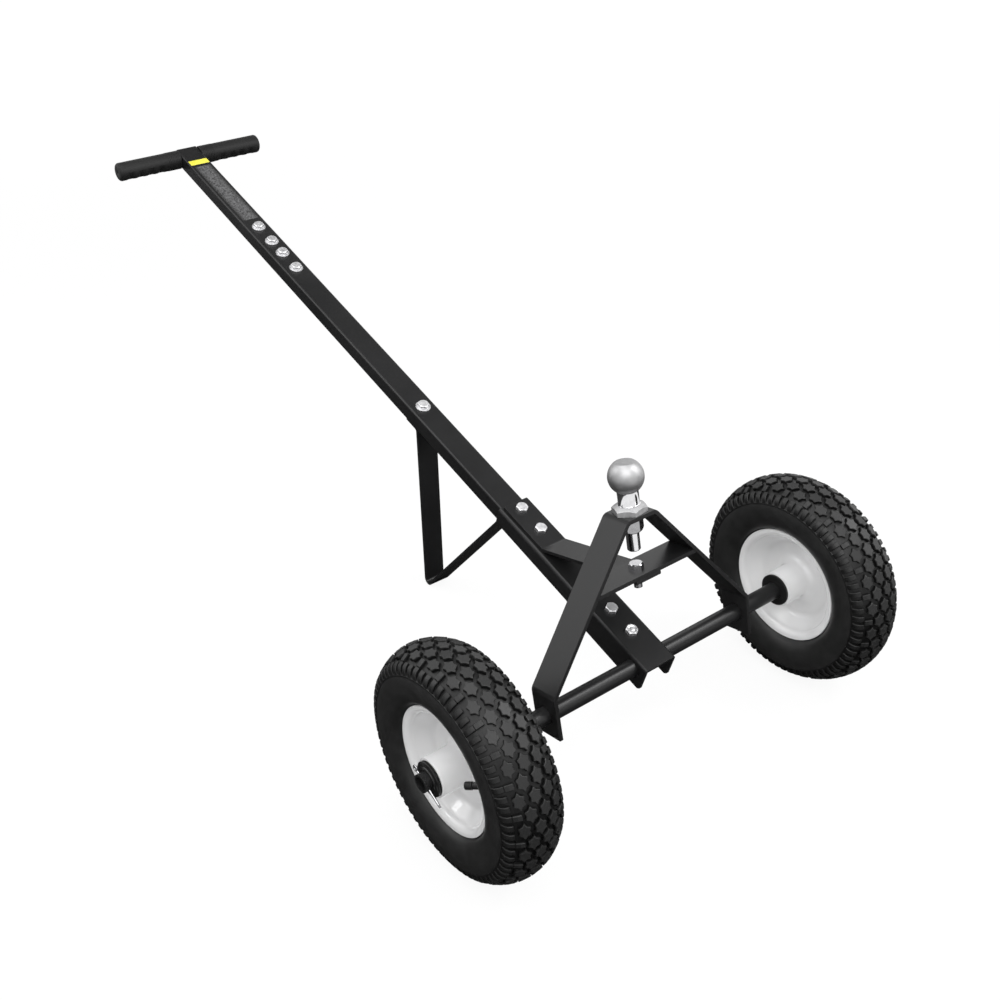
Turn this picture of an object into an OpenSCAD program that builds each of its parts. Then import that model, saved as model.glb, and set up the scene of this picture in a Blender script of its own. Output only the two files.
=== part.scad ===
// Two-wheeled trailer dolly: a rectangular tube handle with a T-bar, a fixed V stand,
// a leaning A-frame that carries the hitch ball, and two pneumatic wheels on one axle.
// Y runs along the dolly towards the handle, X along the axle, Z up from the ground.

/* [Handle] */
// Rise of the handle above level ground, in degrees
handle_slope = 16.7; // [14:0.1:20]
// Width of the rectangular handle tube
handle_w = 44; // [40:1:50]
// Depth of the rectangular handle tube
handle_h = 28; // [25:1:32]
// Wall of the handle tube
handle_wall = 2; // [1.5:0.5:3]
// Outside corner radius of the handle tube
handle_corner = 3; // [2.5:0.5:5]
// Distance from the axle's centre to the tube's lower end
handle_start = 21; // [19:1:26]
// Distance from the axle's centre to the joint between the two tubes
joint_s = 1069.5; // [1000:0.5:1100]
// Distance from the axle's centre to the tube's upper end
handle_end = 1437; // [1380:1:1500]
// Length of the sleeve inside the joint
sleeve_l = 171; // [150:1:200]
// Wall of the sleeve
sleeve_wall = 2; // [1.5:0.5:3]

/* [T-bar] */
// Distance from the cross bar's centre to the tube's upper end
bar_inset = 13; // [13:1:20]
// Outside diameter of the cross bar
bar_d = 22; // [19:1:24]
// Wall of the cross bar
bar_wall = 2; // [1.5:0.5:3]
// Largest diameter of a grip
grip_d = 36; // [32:1:40]
// Length of a grip
grip_l = 126; // [115:1:140]
// Length of the ribbed band at a grip's inner end
ribbed_l = 20; // [16:1:26]
// Number of ribs at a grip's inner end
grip_ribs = 4; // [3:1:5]
// Depth of the grooves between the ribs
rib_depth = 2; // [1:0.5:3]
// Radius of a grip's domed end
grip_dome = 6; // [4:0.5:10]
// Diameter of the vent hole in a grip's end
vent_d = 4; // [3:0.5:6]
// Number of finger waves under a grip
grip_waves = 4; // [3:1:5]
// Depth of each finger wave
wave_depth = 1.5; // [1:0.5:3]

/* [Fasteners] */
// Thread diameter of the frame bolts
bolt_d = 10; // [8:1:12]
// Width across the flats of the frame bolts and nuts
bolt_af = 17; // [15:1:19]
// Height of a frame bolt's head
head_h = 6.4; // [5:0.2:8]
// Height of a frame nut
nut_h = 8; // [6:0.5:10]
// Diameter of the flat washers
washer_d = 25; // [21:1:28]
// Thickness of the flat washers
washer_t = 2; // [1.5:0.5:3]
// Distance from the joint to each inner splice bolt
splice_near = 20; // [16:0.5:24]
// Distance from an inner splice bolt to its outer one
splice_pitch = 50; // [40:0.5:54]

/* [Stand] */
// Width of the stand's strap
stand_w = 38; // [30:1:42]
// Thickness of the stand's strap
stand_t = 5; // [4:0.5:6]
// Place on the handle where the upright leg starts
stand_back = 566; // [540:1:600]
// Place on the handle where the sloping leg starts
stand_front = 333; // [325:1:345]
// Length of the tab behind the upright leg
stand_back_tab = 31; // [28:1:40]
// Length of the tab ahead of the sloping leg
stand_front_tab = 42; // [36:1:50]
// Bend radius at the middle of the strap
stand_bend = 7.5; // [6:0.5:10]

/* [Axle channel] */
// Outside width of the channel
channel_w = 58; // [56:1:64]
// Wall of the channel
channel_t = 5; // [4:0.5:6]
// Outside radius of the channel's two long bends
channel_bend = 5; // [4:0.5:6]
// Place of the channel's upper end on the handle
channel_end = 329; // [325:1:340]
// How far the channel runs past the axle
channel_nose = 24; // [20:1:30]
// Height of the channel's legs beside the axle
channel_deep = 44; // [42:1:50]
// Height of the channel's legs along the handle
channel_shallow = 29; // [25:1:34]
// Place where the deep legs start to taper
taper_from = 105; // [95:1:120]
// Place where the taper ends
taper_to = 150; // [130:1:170]
// Size of the cut-off corners at the channel's lower end
channel_corner = 4; // [2:0.5:6]
// Place of the lower channel bolt
channel_bolt_s = 42; // [38:1:50]
// Distance between the two channel bolts
channel_bolt_pitch = 46; // [40:1:55]

/* [Brace] */
// Width of the brace strap
brace_w = 45; // [40:1:50]
// Thickness of the brace strap
brace_t = 5.5; // [4:0.5:6]
// Place of the upper end of the brace's tab
brace_end = 325; // [320:1:328]
// Place where the brace bends away from the channel
brace_bend_s = 227; // [215:1:240]
// Place of the upper brace bolt, which also holds the stand
brace_bolt_s = 309; // [305:0.5:312]
// Distance between the two brace bolts
brace_bolt_pitch = 48.5; // [40:0.5:55]
// Bend radius at the middle of the brace strap
brace_bend = 10; // [8:1:20]

/* [A-frame] */
// Lean of the A-frame towards the handle, in degrees
frame_lean = 12.3; // [8:0.1:16]
// Width of the A-frame's flat bar
frame_w = 50; // [46:1:54]
// Thickness of the A-frame's flat bar
frame_t = 6; // [5:0.5:8]
// Width over the A-frame's two lower tabs
frame_span = 374; // [350:1:400]
// Height of the top face above the axle, along the lean
frame_top = 234.5; // [225:0.5:250]
// Distance between the two top bends
frame_top_w = 49; // [46:1:60]
// Height of the lower bends above the axle
frame_knee = 32.6; // [28:0.2:40]
// How far the tabs reach below the axle
frame_drop = 31.8; // [28:0.2:36]
// Bend radius at the middle of the flat bar
frame_bend = 9; // [7:0.5:12]
// Height of the cross plate's top face above the axle
plate_top = 149; // [140:1:160]
// Thickness of the cross plate
plate_t = 6; // [5:0.5:8]
// Thread diameter of the cross plate's bolt
plate_bolt_d = 12; // [10:1:14]
// Width across the flats of the cross plate's bolt
plate_bolt_af = 19; // [17:1:22]
// Height of the cross plate's bolt head
plate_head_h = 7.5; // [6:0.5:9]
// Height of the cross plate's nut
plate_nut_h = 9.5; // [8:0.5:11]
// Length of thread below the cross plate's nut
plate_bolt_tip = 9; // [4:1:14]

/* [Hitch ball] */
// Diameter of the hitch ball
ball_d = 50.8; // [50:0.1:60.3]
// Height of the ball's centre above the A-frame
ball_rise = 51.5; // [48:0.5:60]
// Diameter of the flat on top of the ball
ball_flat = 27; // [20:1:30]
// Diameter of the neck
neck_d = 30; // [26:1:34]
// Width across the flats of the collar
collar_af = 44; // [40:1:48]
// Height of the collar
collar_h = 11.5; // [9:0.5:14]
// Drop of the collar's corners where they are turned off
collar_chamfer = 2; // [1:0.5:4]
// Turn of the collar about the shank, in degrees
collar_turn = 8; // [0:1:30]
// Diameter of the threaded shank
shank_d = 19; // [18:0.5:22]
// Length of the shank below the A-frame's top face
shank_l = 58; // [52:1:66]
// Width across the flats of the shank's nut
ball_nut_af = 30; // [28:1:34]
// Height of the shank's nut
ball_nut_h = 18.5; // [15:0.5:22]
// Thickness of the lock washer
lock_t = 4.8; // [4:0.2:6]
// Width of the split in the lock washer
lock_split = 2; // [1:0.5:3]
// Slope of the split, in degrees
lock_slope = 25; // [10:1:40]

/* [Axle] */
// Outside diameter of the axle
axle_d = 26; // [25:0.5:28]
// Wall of the axle tube
axle_wall = 3; // [3:0.5:6]
// Distance between the centre planes of the wheels
track = 647; // [600:1:700]
// Diameter of the stop washers and end washers
end_washer_d = 50; // [44:1:54]
// Thickness of the stop washers and end washers
end_washer_t = 3; // [2:0.5:4]
// Width of the flat that a stop washer bears on the axle with
stop_land = 3; // [2:0.5:5]
// Diameter of a split pin
pin_d = 3.5; // [3:0.5:5]
// Distance from a split pin to the end of the axle
pin_edge = 6; // [5:0.5:10]
// Room between the end washer and its split pin
pin_play = 4; // [1:0.5:6]
// Length of a split pin from the axle's centre to its tail
pin_tail = 39; // [30:1:45]
// Distance from the axle's centre to the eye of a split pin
pin_head = 21; // [18:1:26]
// Thickness of the wire in a split pin's eye
pin_wire_d = 3; // [2:0.5:4]
// Gap between the two legs of a split pin
pin_slit = 0.5; // [0.3:0.1:1]
// Slope of the split pins, in degrees
pin_slope = 27; // [0:1:45]

/* [Wheels] */
// Outside diameter of a tyre over its blocks
tyre_d = 337; // [325:1:345]
// Width of a tyre across its sidewalls
tyre_w = 97; // [90:1:100]
// Radius of the tread's crown from shoulder to shoulder
crown_r = 62; // [56:1:70]
// Angle from the middle of the tread to its shoulders, in degrees
shoulder_tilt = 33; // [30:1:36]
// Bulge of a sidewall beyond its bead
bulge = 18; // [14:1:20]
// Thickness of the tyre's wall
tyre_wall = 6; // [5:0.5:8]
// Thickness of the inner tube's wall
tube_wall = 2; // [1.5:0.5:3]
// Height of the tread blocks
block_h = 5; // [4:0.5:6]
// Depth that the blocks are rooted below the tread's floor
block_root = 2; // [1:0.5:3]
// Number of block rows across the tread
block_rows = 6; // [4:1:6]
// Number of blocks round one row
block_count = 24; // [12:4:24]
// Distance between two block rows along the crown
row_pitch = 10.5; // [10:0.5:11]
// Length of a star block round the tyre, from point to point
star_l = 25.6; // [24:0.2:28]
// Width of a star block across the tread
star_w = 16.4; // [15:0.2:17]
// Width of a star block's two flat ends
star_flat = 10.4; // [8:0.2:11]
// Depth of the notches between a star block's points
star_notch = 1; // [0.5:0.1:1.5]
// Diameter over the rim's flanges
rim_d = 186; // [180:1:192]
// Width over the rim's flanges
rim_w = 70; // [66:1:74]
// Thickness of the rim's metal
rim_t = 3; // [2.5:0.5:4]
// Size of the soft edges on the rim
rim_edge = 1; // [0.5:0.5:1.5]
// Depth of the bead seat below the flange
seat_drop = 10; // [9:0.5:12]
// Length of the bead seat along the axle
seat_l = 6; // [4:0.5:8]
// Length of the slope between the bead seat and the well
step_l = 4; // [2:0.5:6]
// Depth of the rim's well below the bead seat
well_drop = 8; // [7:0.5:10]
// Thickness of the rim's disc
disc_t = 5; // [4:0.5:7]
// Fillet between the disc and the hub
hub_fillet = 12; // [8:1:14]
// Fillet between the disc and the well
well_fillet = 8; // [5:0.5:8]
// Diameter of the hub
hub_d = 56; // [50:1:60]
// Length of the hub
hub_l = 105; // [98:1:112]
// Diameter of a bush's barrel
bush_d = 40; // [36:1:44]
// Diameter of a bush's flange
bush_flange_d = 50; // [46:1:52]
// Thickness of a bush's flange
bush_flange_t = 1.5; // [1:0.5:3]
// Length of a bush's barrel
bush_l = 30; // [20:1:45]
// Diameter of the valve stem
valve_d = 11; // [8:0.5:12]
// Length of the valve stem inside the bowl
valve_l = 22; // [16:1:24]
// Lean of the valve stem towards the open side, in degrees
valve_lean = 39; // [30:1:42]
// Place of the valve round the wheel, in degrees above the front
valve_angle = 15; // [0:1:40]
// Distance of the valve's root from the wheel's centre plane
valve_root = 13; // [10:0.5:14]
// Length of the valve cap
cap_l = 11; // [7:1:14]

/* [Clearances] */
// Radial running clearance of the bushes on the axle
run_gap = 0.05; // [0.02:0.01:0.1]
// Radial clearance of bolts, washers and welded round pieces
hole_gap = 0.25; // [0.15:0.05:0.5]
// Gap between soft or curved pieces that seat on each other
seat_gap = 0.3; // [0.2:0.05:0.4]
// End float of each wheel towards its washers
wheel_play = 0.5; // [0.3:0.1:1]

/* [Hidden] */

// Roundness of bores and turned pieces
round_fn = 48;
// Roundness of the wheels
wheel_fn = 96;
// Roundness of thin wire
wire_fn = 16;
// Facets of one bend in a strap
bend_steps = 5;
// Slack that lets a cut run past a face
past = 1;

bar_s = handle_end - bar_inset;
tyre_r = tyre_d / 2;
axle_y = (tyre_r - (bar_s * cos(handle_slope) + grip_d / 2)) / 2;

handle_top = handle_h / 2;
channel_top = handle_top + channel_t;
brace_top = channel_top + brace_t;
under_handle = -handle_top - stand_t;
splice_places = [for (side = [-1, 1], n = [0, 1]) joint_s + side * (splice_near + n * splice_pitch)];
stand_bolt_s = stand_back + stand_back_tab / 2;
channel_places = [channel_bolt_s, channel_bolt_s + channel_bolt_pitch];
brace_places = [brace_bolt_s, brace_bolt_s - brace_bolt_pitch];

// Half span of the flat bar's centre line at the tabs and at the top
knee_x = (frame_span - frame_t) / 2;
peak_x = frame_top_w / 2;
peak_t = frame_top - frame_t / 2;
arm_lean = atan2(knee_x - peak_x, peak_t - frame_knee);
brace_pad_t = plate_top - plate_t - brace_t / 2;

stop_face = track / 2 - hub_l / 2 - bush_flange_t - wheel_play;
end_face = track / 2 + hub_l / 2 + bush_flange_t + wheel_play;
pin_x = end_face + end_washer_t + pin_play + pin_d / 2;
axle_half = pin_x + pin_edge;

flange_r = rim_d / 2;
seat_r = flange_r - seat_drop;
well_r = seat_r - well_drop;
curl_r = seat_drop - rim_t;
curl = [flange_r - rim_t, rim_w / 2 - rim_t - curl_r];
seat_edge = curl.y - seat_l;
well_edge = seat_edge - step_l;
// Offset that keeps the wall's thickness over the step between seat and well
step_shift = rim_t * tan(atan2(well_drop, seat_edge - well_edge) / 2);
mid_tilt = asin(row_pitch / 2 / crown_r);
corner_rise = crown_r * (cos(mid_tilt) - 1) + star_w / 2 * sin(mid_tilt);
crown_centre = tyre_r - crown_r - corner_rise;
shoulder_r = crown_centre + (crown_r - block_h) * cos(shoulder_tilt);
wall_mid = (shoulder_r + flange_r) / 2;
wall_reach = (shoulder_r - flange_r) / 2 - past;

function rotated(v, a) = [v.x * cos(a) - v.y * sin(a), v.x * sin(a) + v.y * cos(a)];
function unit(v) = v / norm(v);
function turn(u, v) = atan2(u.x * v.y - u.y * v.x, u * v);
function arc(c, r, from, to, steps) =
  [for (i = [0:steps]) c + r * [cos(from + (to - from) * i / steps), sin(from + (to - from) * i / steps)]];

// One side of a bent strap: straight ends and an arc at each corner of its centre line
function strap_side(path, bend, off) = concat(
  [path[0] + off * rotated(unit(path[1] - path[0]), 90)],
  [for (i = [1:len(path) - 2], k = [0:bend_steps])
    let (u = unit(path[i] - path[i - 1]), a = turn(u, unit(path[i + 1] - path[i])), s = sign(a),
      centre = path[i] - u * bend * tan(abs(a) / 2) + s * bend * rotated(u, 90))
    centre - s * (bend - s * off) * rotated(u, 90 + a * k / bend_steps)],
  [path[len(path) - 1] + off * rotated(unit(path[len(path) - 1] - path[len(path) - 2]), 90)]
);
function reversed(list) = [for (i = [len(list) - 1:-1:0]) list[i]];

// Side-view places as [Y, Z] from the axle's centre
function handle_at(s, h) = rotated([s, h], handle_slope);
function frame_at(w, t) = rotated([w, t], -frame_lean);
// Half distance between the arms' inner faces at one height
function arm_inner(t) =
  knee_x - (t - frame_knee) * tan(arm_lean) - frame_t / 2 / cos(arm_lean) - hole_gap;

module bent_strap(path, bend, thick) {
  polygon(concat(strap_side(path, bend, thick / 2), reversed(strap_side(path, bend, -thick / 2))));
}

module rounded_box(w, h, r) {
  square([w - 2 * r, h], center = true);
  square([w, h - 2 * r], center = true);
  for (x = [-1, 1], y = [-1, 1])
    translate([x * (w / 2 - r), y * (h / 2 - r)]) circle(r, $fn = round_fn);
}

// Frames that pieces are placed in
module at_axle() translate([0, axle_y, tyre_r]) children();
module on_handle(s, h) at_axle() rotate([handle_slope, 0, 0]) translate([0, s, h]) children();
module on_frame(t) at_axle() rotate([-frame_lean, 0, 0]) translate([0, 0, t]) children();
module side_view(w) at_axle() rotate([90, 0, 90]) linear_extrude(w, center = true) children();
module lengthways(l) rotate([90, 0, 0]) translate([0, 0, -l]) linear_extrude(l) children();
module crossways(r, l) rotate([0, 90, 0]) cylinder(r = r, h = l, center = true, $fn = round_fn);
module wheel_side(side) at_axle() mirror([side < 0 ? 1 : 0, 0, 0]) children();
module at_wheel(side) wheel_side(side) translate([track / 2, 0, 0]) children();

module hex(af, h) rotate(30) cylinder(d = af / cos(30), h = h, $fn = 6);
module chamfered_hex(af, h) {
  intersection() {
    hex(af, h);
    cylinder(r1 = af / 2 + h, r2 = af / 2 - h / 10, h = h, $fn = round_fn);
  }
}
module hex_bolt(d, af, head, l) {
  chamfered_hex(af, head);
  translate([0, 0, -l]) cylinder(d = d, h = l + head / 2, $fn = round_fn);
}
module ring(outer, inner, h) {
  difference() {
    cylinder(d = outer, h = h, $fn = round_fn);
    translate([0, 0, -past]) cylinder(d = inner, h = h + 2 * past, $fn = round_fn);
  }
}
module hex_nut(d, af, h) {
  difference() {
    mirror([0, 0, 1]) chamfered_hex(af, h);
    translate([0, 0, -h - past]) cylinder(d = d + 2 * hole_gap, h = h + 2 * past, $fn = round_fn);
  }
}
module bolt_hole(d, depth) {
  translate([0, 0, -depth]) cylinder(d = d + 2 * hole_gap, h = 2 * depth, $fn = round_fn);
}

// ---- Handle ----
module handle_tube(from, to) {
  on_handle(from, 0) lengthways(to - from) difference() {
    rounded_box(handle_w, handle_h, handle_corner);
    rounded_box(handle_w - 2 * handle_wall, handle_h - 2 * handle_wall, handle_corner - handle_wall);
  }
}
module drilled(places, d) {
  difference() {
    children();
    for (s = places) on_handle(s, 0) bolt_hole(d, handle_h);
  }
}
module lower_handle_tube() {
  color("dimgray") drilled(
    concat(channel_places, brace_places, [stand_bolt_s, splice_places[0], splice_places[1]]), bolt_d)
    handle_tube(handle_start, joint_s);
}
module upper_handle_tube() {
  color("dimgray") difference() {
    drilled([splice_places[2], splice_places[3]], bolt_d) handle_tube(joint_s, handle_end);
    on_handle(bar_s, 0) crossways(bar_d / 2 + hole_gap, handle_w + 2 * past);
  }
}
module splice_sleeve() {
  w = handle_w - 2 * handle_wall - 2 * seat_gap;
  h = handle_h - 2 * handle_wall - 2 * seat_gap;
  color("silver") drilled(splice_places, bolt_d)
    on_handle(joint_s - sleeve_l / 2, 0) lengthways(sleeve_l) difference() {
      square([w, h], center = true);
      square([w - 2 * sleeve_wall, h - 2 * sleeve_wall], center = true);
    }
}
module splice_bolts() {
  color("silver") for (s = splice_places)
    on_handle(s, handle_top + washer_t)
      hex_bolt(bolt_d, bolt_af, head_h, handle_h + washer_t + nut_h + washer_t);
}
module splice_washers() {
  color("silver") for (s = splice_places)
    on_handle(s, handle_top) ring(washer_d, bolt_d + 2 * hole_gap, washer_t);
}
module splice_nuts() {
  color("silver") for (s = splice_places)
    on_handle(s, -handle_top) hex_nut(bolt_d, bolt_af, nut_h);
}

// ---- T-bar ----
module cross_bar() {
  half = handle_w / 2 + grip_l - bar_wall;
  color("dimgray") on_handle(bar_s, 0) difference() {
    crossways(bar_d / 2, 2 * half);
    crossways(bar_d / 2 - bar_wall, 2 * half + 2 * past);
  }
}
module grip() {
  rib = ribbed_l / grip_ribs;
  wave = (grip_l - ribbed_l - 2 * grip_dome) / grip_waves;
  difference() {
    rotate([0, 90, 0]) union() {
      cylinder(r = grip_d / 2 - rib_depth, h = ribbed_l + past, $fn = round_fn);
      for (n = [0:grip_ribs - 1])
        translate([0, 0, n * rib]) cylinder(d = grip_d, h = rib / 2, $fn = round_fn);
      translate([0, 0, ribbed_l]) rotate_extrude($fn = round_fn) {
        square([grip_d / 2, grip_l - ribbed_l - grip_dome]);
        square([grip_d / 2 - grip_dome, grip_l - ribbed_l]);
        translate([grip_d / 2 - grip_dome, grip_l - ribbed_l - grip_dome])
          intersection() {
            circle(grip_dome, $fn = round_fn);
            square(grip_dome);
          }
      }
    }
    rotate([0, 90, 0]) translate([0, 0, -past])
      cylinder(r = bar_d / 2 + hole_gap, h = grip_l - bar_wall + past, $fn = round_fn);
    crossways(vent_d / 2, 4 * grip_l);
    for (n = [0:grip_waves - 1])
      translate([ribbed_l + grip_dome + (n + 0.5) * wave, 0, -grip_d / 2 - wave + wave_depth])
        rotate([90, 0, 0]) cylinder(r = wave, h = 2 * grip_d, center = true, $fn = round_fn);
  }
}
module left_grip() {
  color("black") on_handle(bar_s, 0) mirror([1, 0, 0])
    translate([handle_w / 2 + seat_gap, 0, 0]) grip();
}
module right_grip() {
  color("black") on_handle(bar_s, 0) translate([handle_w / 2 + seat_gap, 0, 0]) grip();
}

// ---- Stand ----
// The strap runs along the tube, down to the ground and back up at a slope
module stand_strap() {
  tab_h = -handle_top - stand_t / 2;
  back = handle_at(stand_back, tab_h);
  front = handle_at(stand_front, tab_h);
  foot = [back.x - stand_bend, -tyre_r + stand_t / 2 + stand_bend];
  reach = norm(front - foot);
  rise = atan2(front.y - foot.y, foot.x - front.x) + asin(stand_bend / reach);
  corner = [back.x, foot.y - stand_bend * tan((90 + rise) / 2)];
  color("dimgray") difference() {
    side_view(stand_w) bent_strap([
      handle_at(stand_back + stand_back_tab, tab_h), back, corner, front,
      handle_at(stand_front - stand_front_tab, tab_h)
    ], stand_bend, stand_t);
    for (s = [stand_bolt_s, brace_bolt_s]) on_handle(s, tab_h) bolt_hole(bolt_d, 2 * stand_t);
  }
}
module stand_bolt() {
  color("silver") on_handle(stand_bolt_s, handle_top + washer_t)
    hex_bolt(bolt_d, bolt_af, head_h, handle_h + washer_t + stand_t + nut_h + washer_t);
}
module stand_washer() {
  color("silver") on_handle(stand_bolt_s, handle_top)
    ring(washer_d, bolt_d + 2 * hole_gap, washer_t);
}
module stand_nut() {
  color("silver") on_handle(stand_bolt_s, under_handle) hex_nut(bolt_d, bolt_af, nut_h);
}

// ---- Axle channel and brace ----
module channel_section() {
  inner = channel_w / 2 - channel_t;
  difference() {
    union() {
      translate([-channel_w / 2, channel_top - channel_deep])
        square([channel_w, channel_deep - channel_bend]);
      translate([-channel_w / 2 + channel_bend, channel_top - channel_deep])
        square([channel_w - 2 * channel_bend, channel_deep]);
      for (x = [-1, 1])
        translate([x * (channel_w / 2 - channel_bend), channel_top - channel_bend])
          circle(channel_bend, $fn = round_fn);
    }
    translate([-inner, channel_top - channel_deep - past])
      square([2 * inner, channel_deep - channel_t + past]);
  }
}
module axle_channel() {
  deep = channel_top - channel_deep;
  shallow = channel_top - channel_shallow;
  color("dimgray") difference() {
    on_handle(-channel_nose, 0) lengthways(channel_end + channel_nose) channel_section();
    side_view(2 * channel_w) polygon([
      handle_at(taper_from, deep - past), handle_at(taper_from, deep), handle_at(taper_to, shallow),
      handle_at(channel_end + past, shallow), handle_at(channel_end + past, deep - past)
    ]);
    side_view(2 * channel_w) polygon([
      handle_at(-channel_nose - past, deep + channel_corner), handle_at(-channel_nose, deep + channel_corner),
      handle_at(-channel_nose + channel_corner, deep), handle_at(-channel_nose + channel_corner, deep - past),
      handle_at(-channel_nose - past, deep - past)
    ]);
    at_axle() crossways(axle_d / 2 + hole_gap, 2 * channel_w);
    for (s = concat(channel_places, brace_places))
      on_handle(s, channel_top) bolt_hole(bolt_d, 2 * channel_t);
  }
}
module channel_bolts() {
  color("silver") for (s = channel_places)
    on_handle(s, channel_top)
      hex_bolt(bolt_d, bolt_af, head_h, handle_h + channel_t + nut_h + washer_t);
}
module channel_nuts() {
  color("silver") for (s = channel_places)
    on_handle(s, -handle_top) hex_nut(bolt_d, bolt_af, nut_h);
}
module brace_strap() {
  tab_h = channel_top + brace_t / 2;
  color("dimgray") difference() {
    side_view(brace_w) bent_strap([
      handle_at(brace_end, tab_h), handle_at(brace_bend_s, tab_h),
      frame_at(frame_w / 2, brace_pad_t), frame_at(-frame_w / 2, brace_pad_t)
    ], brace_bend, brace_t);
    for (s = brace_places) on_handle(s, tab_h) bolt_hole(bolt_d, 2 * brace_t);
    on_frame(brace_pad_t) bolt_hole(plate_bolt_d, 2 * brace_t);
  }
}
module brace_bolts() {
  color("silver") for (s = brace_places)
    on_handle(s, brace_top)
      hex_bolt(bolt_d, bolt_af, head_h, brace_t + channel_t + handle_h + stand_t + nut_h + washer_t);
}
module brace_nuts() {
  color("silver") {
    on_handle(brace_places[0], under_handle) hex_nut(bolt_d, bolt_af, nut_h);
    on_handle(brace_places[1], -handle_top) hex_nut(bolt_d, bolt_af, nut_h);
  }
}

// ---- A-frame and hitch ball ----
module frame_view(w) rotate([90, 0, 0]) linear_extrude(w, center = true) children();
module a_frame() {
  color("dimgray") on_frame(0) difference() {
    frame_view(frame_w) bent_strap([
      [-knee_x, -frame_drop], [-knee_x, frame_knee], [-peak_x, peak_t],
      [peak_x, peak_t], [knee_x, frame_knee], [knee_x, -frame_drop]
    ], frame_bend, frame_t);
    crossways(axle_d / 2 + hole_gap, frame_span + 2 * past);
    translate([0, 0, frame_top]) bolt_hole(shank_d, 2 * frame_t);
  }
}
module cross_plate() {
  top = arm_inner(plate_top);
  bottom = arm_inner(plate_top - plate_t);
  color("dimgray") on_frame(0) difference() {
    frame_view(frame_w) polygon([
      [-bottom, plate_top - plate_t], [bottom, plate_top - plate_t], [top, plate_top],
      [-top, plate_top]
    ]);
    translate([0, 0, plate_top]) bolt_hole(plate_bolt_d, 2 * plate_t);
  }
}
module cross_plate_bolt() {
  color("silver") on_frame(plate_top)
    hex_bolt(plate_bolt_d, plate_bolt_af, plate_head_h,
      plate_t + brace_t + plate_nut_h + plate_bolt_tip);
}
module cross_plate_nut() {
  color("silver") on_frame(plate_top - plate_t - brace_t)
    hex_nut(plate_bolt_d, plate_bolt_af, plate_nut_h);
}
module hitch_ball() {
  ball_r = ball_d / 2;
  flat_z = sqrt(ball_r * ball_r - ball_flat * ball_flat / 4);
  color("silver") on_frame(frame_top) {
    rotate(collar_turn) intersection() {
      hex(collar_af, collar_h);
      cylinder(r1 = collar_af / 2 + collar_h, r2 = collar_af / 2 - collar_chamfer, h = collar_h, $fn = round_fn);
    }
    cylinder(d = neck_d, h = ball_rise, $fn = round_fn);
    translate([0, 0, ball_rise]) intersection() {
      sphere(ball_r, $fn = round_fn);
      translate([-ball_r, -ball_r, -ball_r]) cube([ball_d, ball_d, ball_r + flat_z]);
    }
    translate([0, 0, -shank_l]) cylinder(d = shank_d, h = shank_l + past, $fn = round_fn);
  }
}
module hitch_lock_washer() {
  color("silver") on_frame(frame_top - frame_t - lock_t) difference() {
    ring(ball_nut_af, shank_d + 2 * hole_gap, lock_t);
    translate([0, 0, -past]) rotate([lock_slope, 0, 0]) cube([ball_nut_af, lock_split, 4 * lock_t]);
  }
}
module hitch_nut() {
  color("silver") on_frame(frame_top - frame_t - lock_t) hex_nut(shank_d, ball_nut_af, ball_nut_h);
}

// ---- Axle ----
module pin_line(side) {
  wheel_side(side) translate([pin_x, 0, 0]) rotate([90 + pin_slope, 0, 0]) children();
}
module axle() {
  color("dimgray") difference() {
    at_axle() crossways(axle_d / 2, 2 * axle_half);
    at_axle() crossways(axle_d / 2 - axle_wall, 2 * axle_half + 2 * past);
    for (side = [-1, 1]) pin_line(side)
      cylinder(d = pin_d + 2 * hole_gap, h = 2 * axle_d, center = true, $fn = round_fn);
  }
}
module stop_washer(side) {
  color("black") wheel_side(side) translate([stop_face, 0, 0]) rotate([0, -90, 0]) difference() {
    union() {
      cylinder(d = end_washer_d, h = end_washer_t / 2, $fn = round_fn);
      translate([0, 0, end_washer_t / 2])
        cylinder(d1 = end_washer_d, d2 = axle_d + 2 * stop_land, h = end_washer_t / 2, $fn = round_fn);
    }
    translate([0, 0, -past])
      cylinder(d = axle_d + 2 * hole_gap, h = end_washer_t + 2 * past, $fn = round_fn);
  }
}
module outer_washer(side) {
  color("black") wheel_side(side) translate([end_face, 0, 0]) rotate([0, 90, 0])
    ring(end_washer_d, axle_d + 2 * hole_gap, end_washer_t);
}
// A folded half-round wire: an eye at one end and two legs, one of them shorter
module split_pin(side) {
  eye_r = pin_d;
  color("silver") pin_line(side) difference() {
    union() {
      translate([0, 0, -pin_head]) rotate([0, 90, 0])
        rotate_extrude($fn = round_fn) translate([eye_r, 0]) circle(pin_wire_d / 2, $fn = wire_fn);
      translate([0, 0, -pin_head + eye_r])
        cylinder(d = pin_d, h = pin_head - eye_r + pin_tail, $fn = round_fn);
    }
    translate([-pin_d, -pin_slit / 2, axle_d / 2]) cube([2 * pin_d, pin_slit, pin_tail]);
    translate([-pin_d, 0, pin_tail - pin_d]) cube([2 * pin_d, pin_d, 2 * pin_d]);
  }
}

// ---- Wheels ----
// A wheel's section is drawn as [radius, distance from the centre plane]
function crown_line(depth, half) = arc([crown_centre, 0], crown_r - depth, -half, half, bend_steps);
function sidewall(depth, side) = [for (a = [70:-20:-70])
  [wall_mid + wall_reach * sin(a), side * (tyre_w / 2 - depth - bulge * (1 - cos(a)))]];
function bead(side) = sided(concat(
  [[flange_r + seat_gap, rim_w / 2 - rim_t - seat_gap]],
  arc(curl, curl_r - seat_gap, 90, 180, bend_steps)), side);

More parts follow.
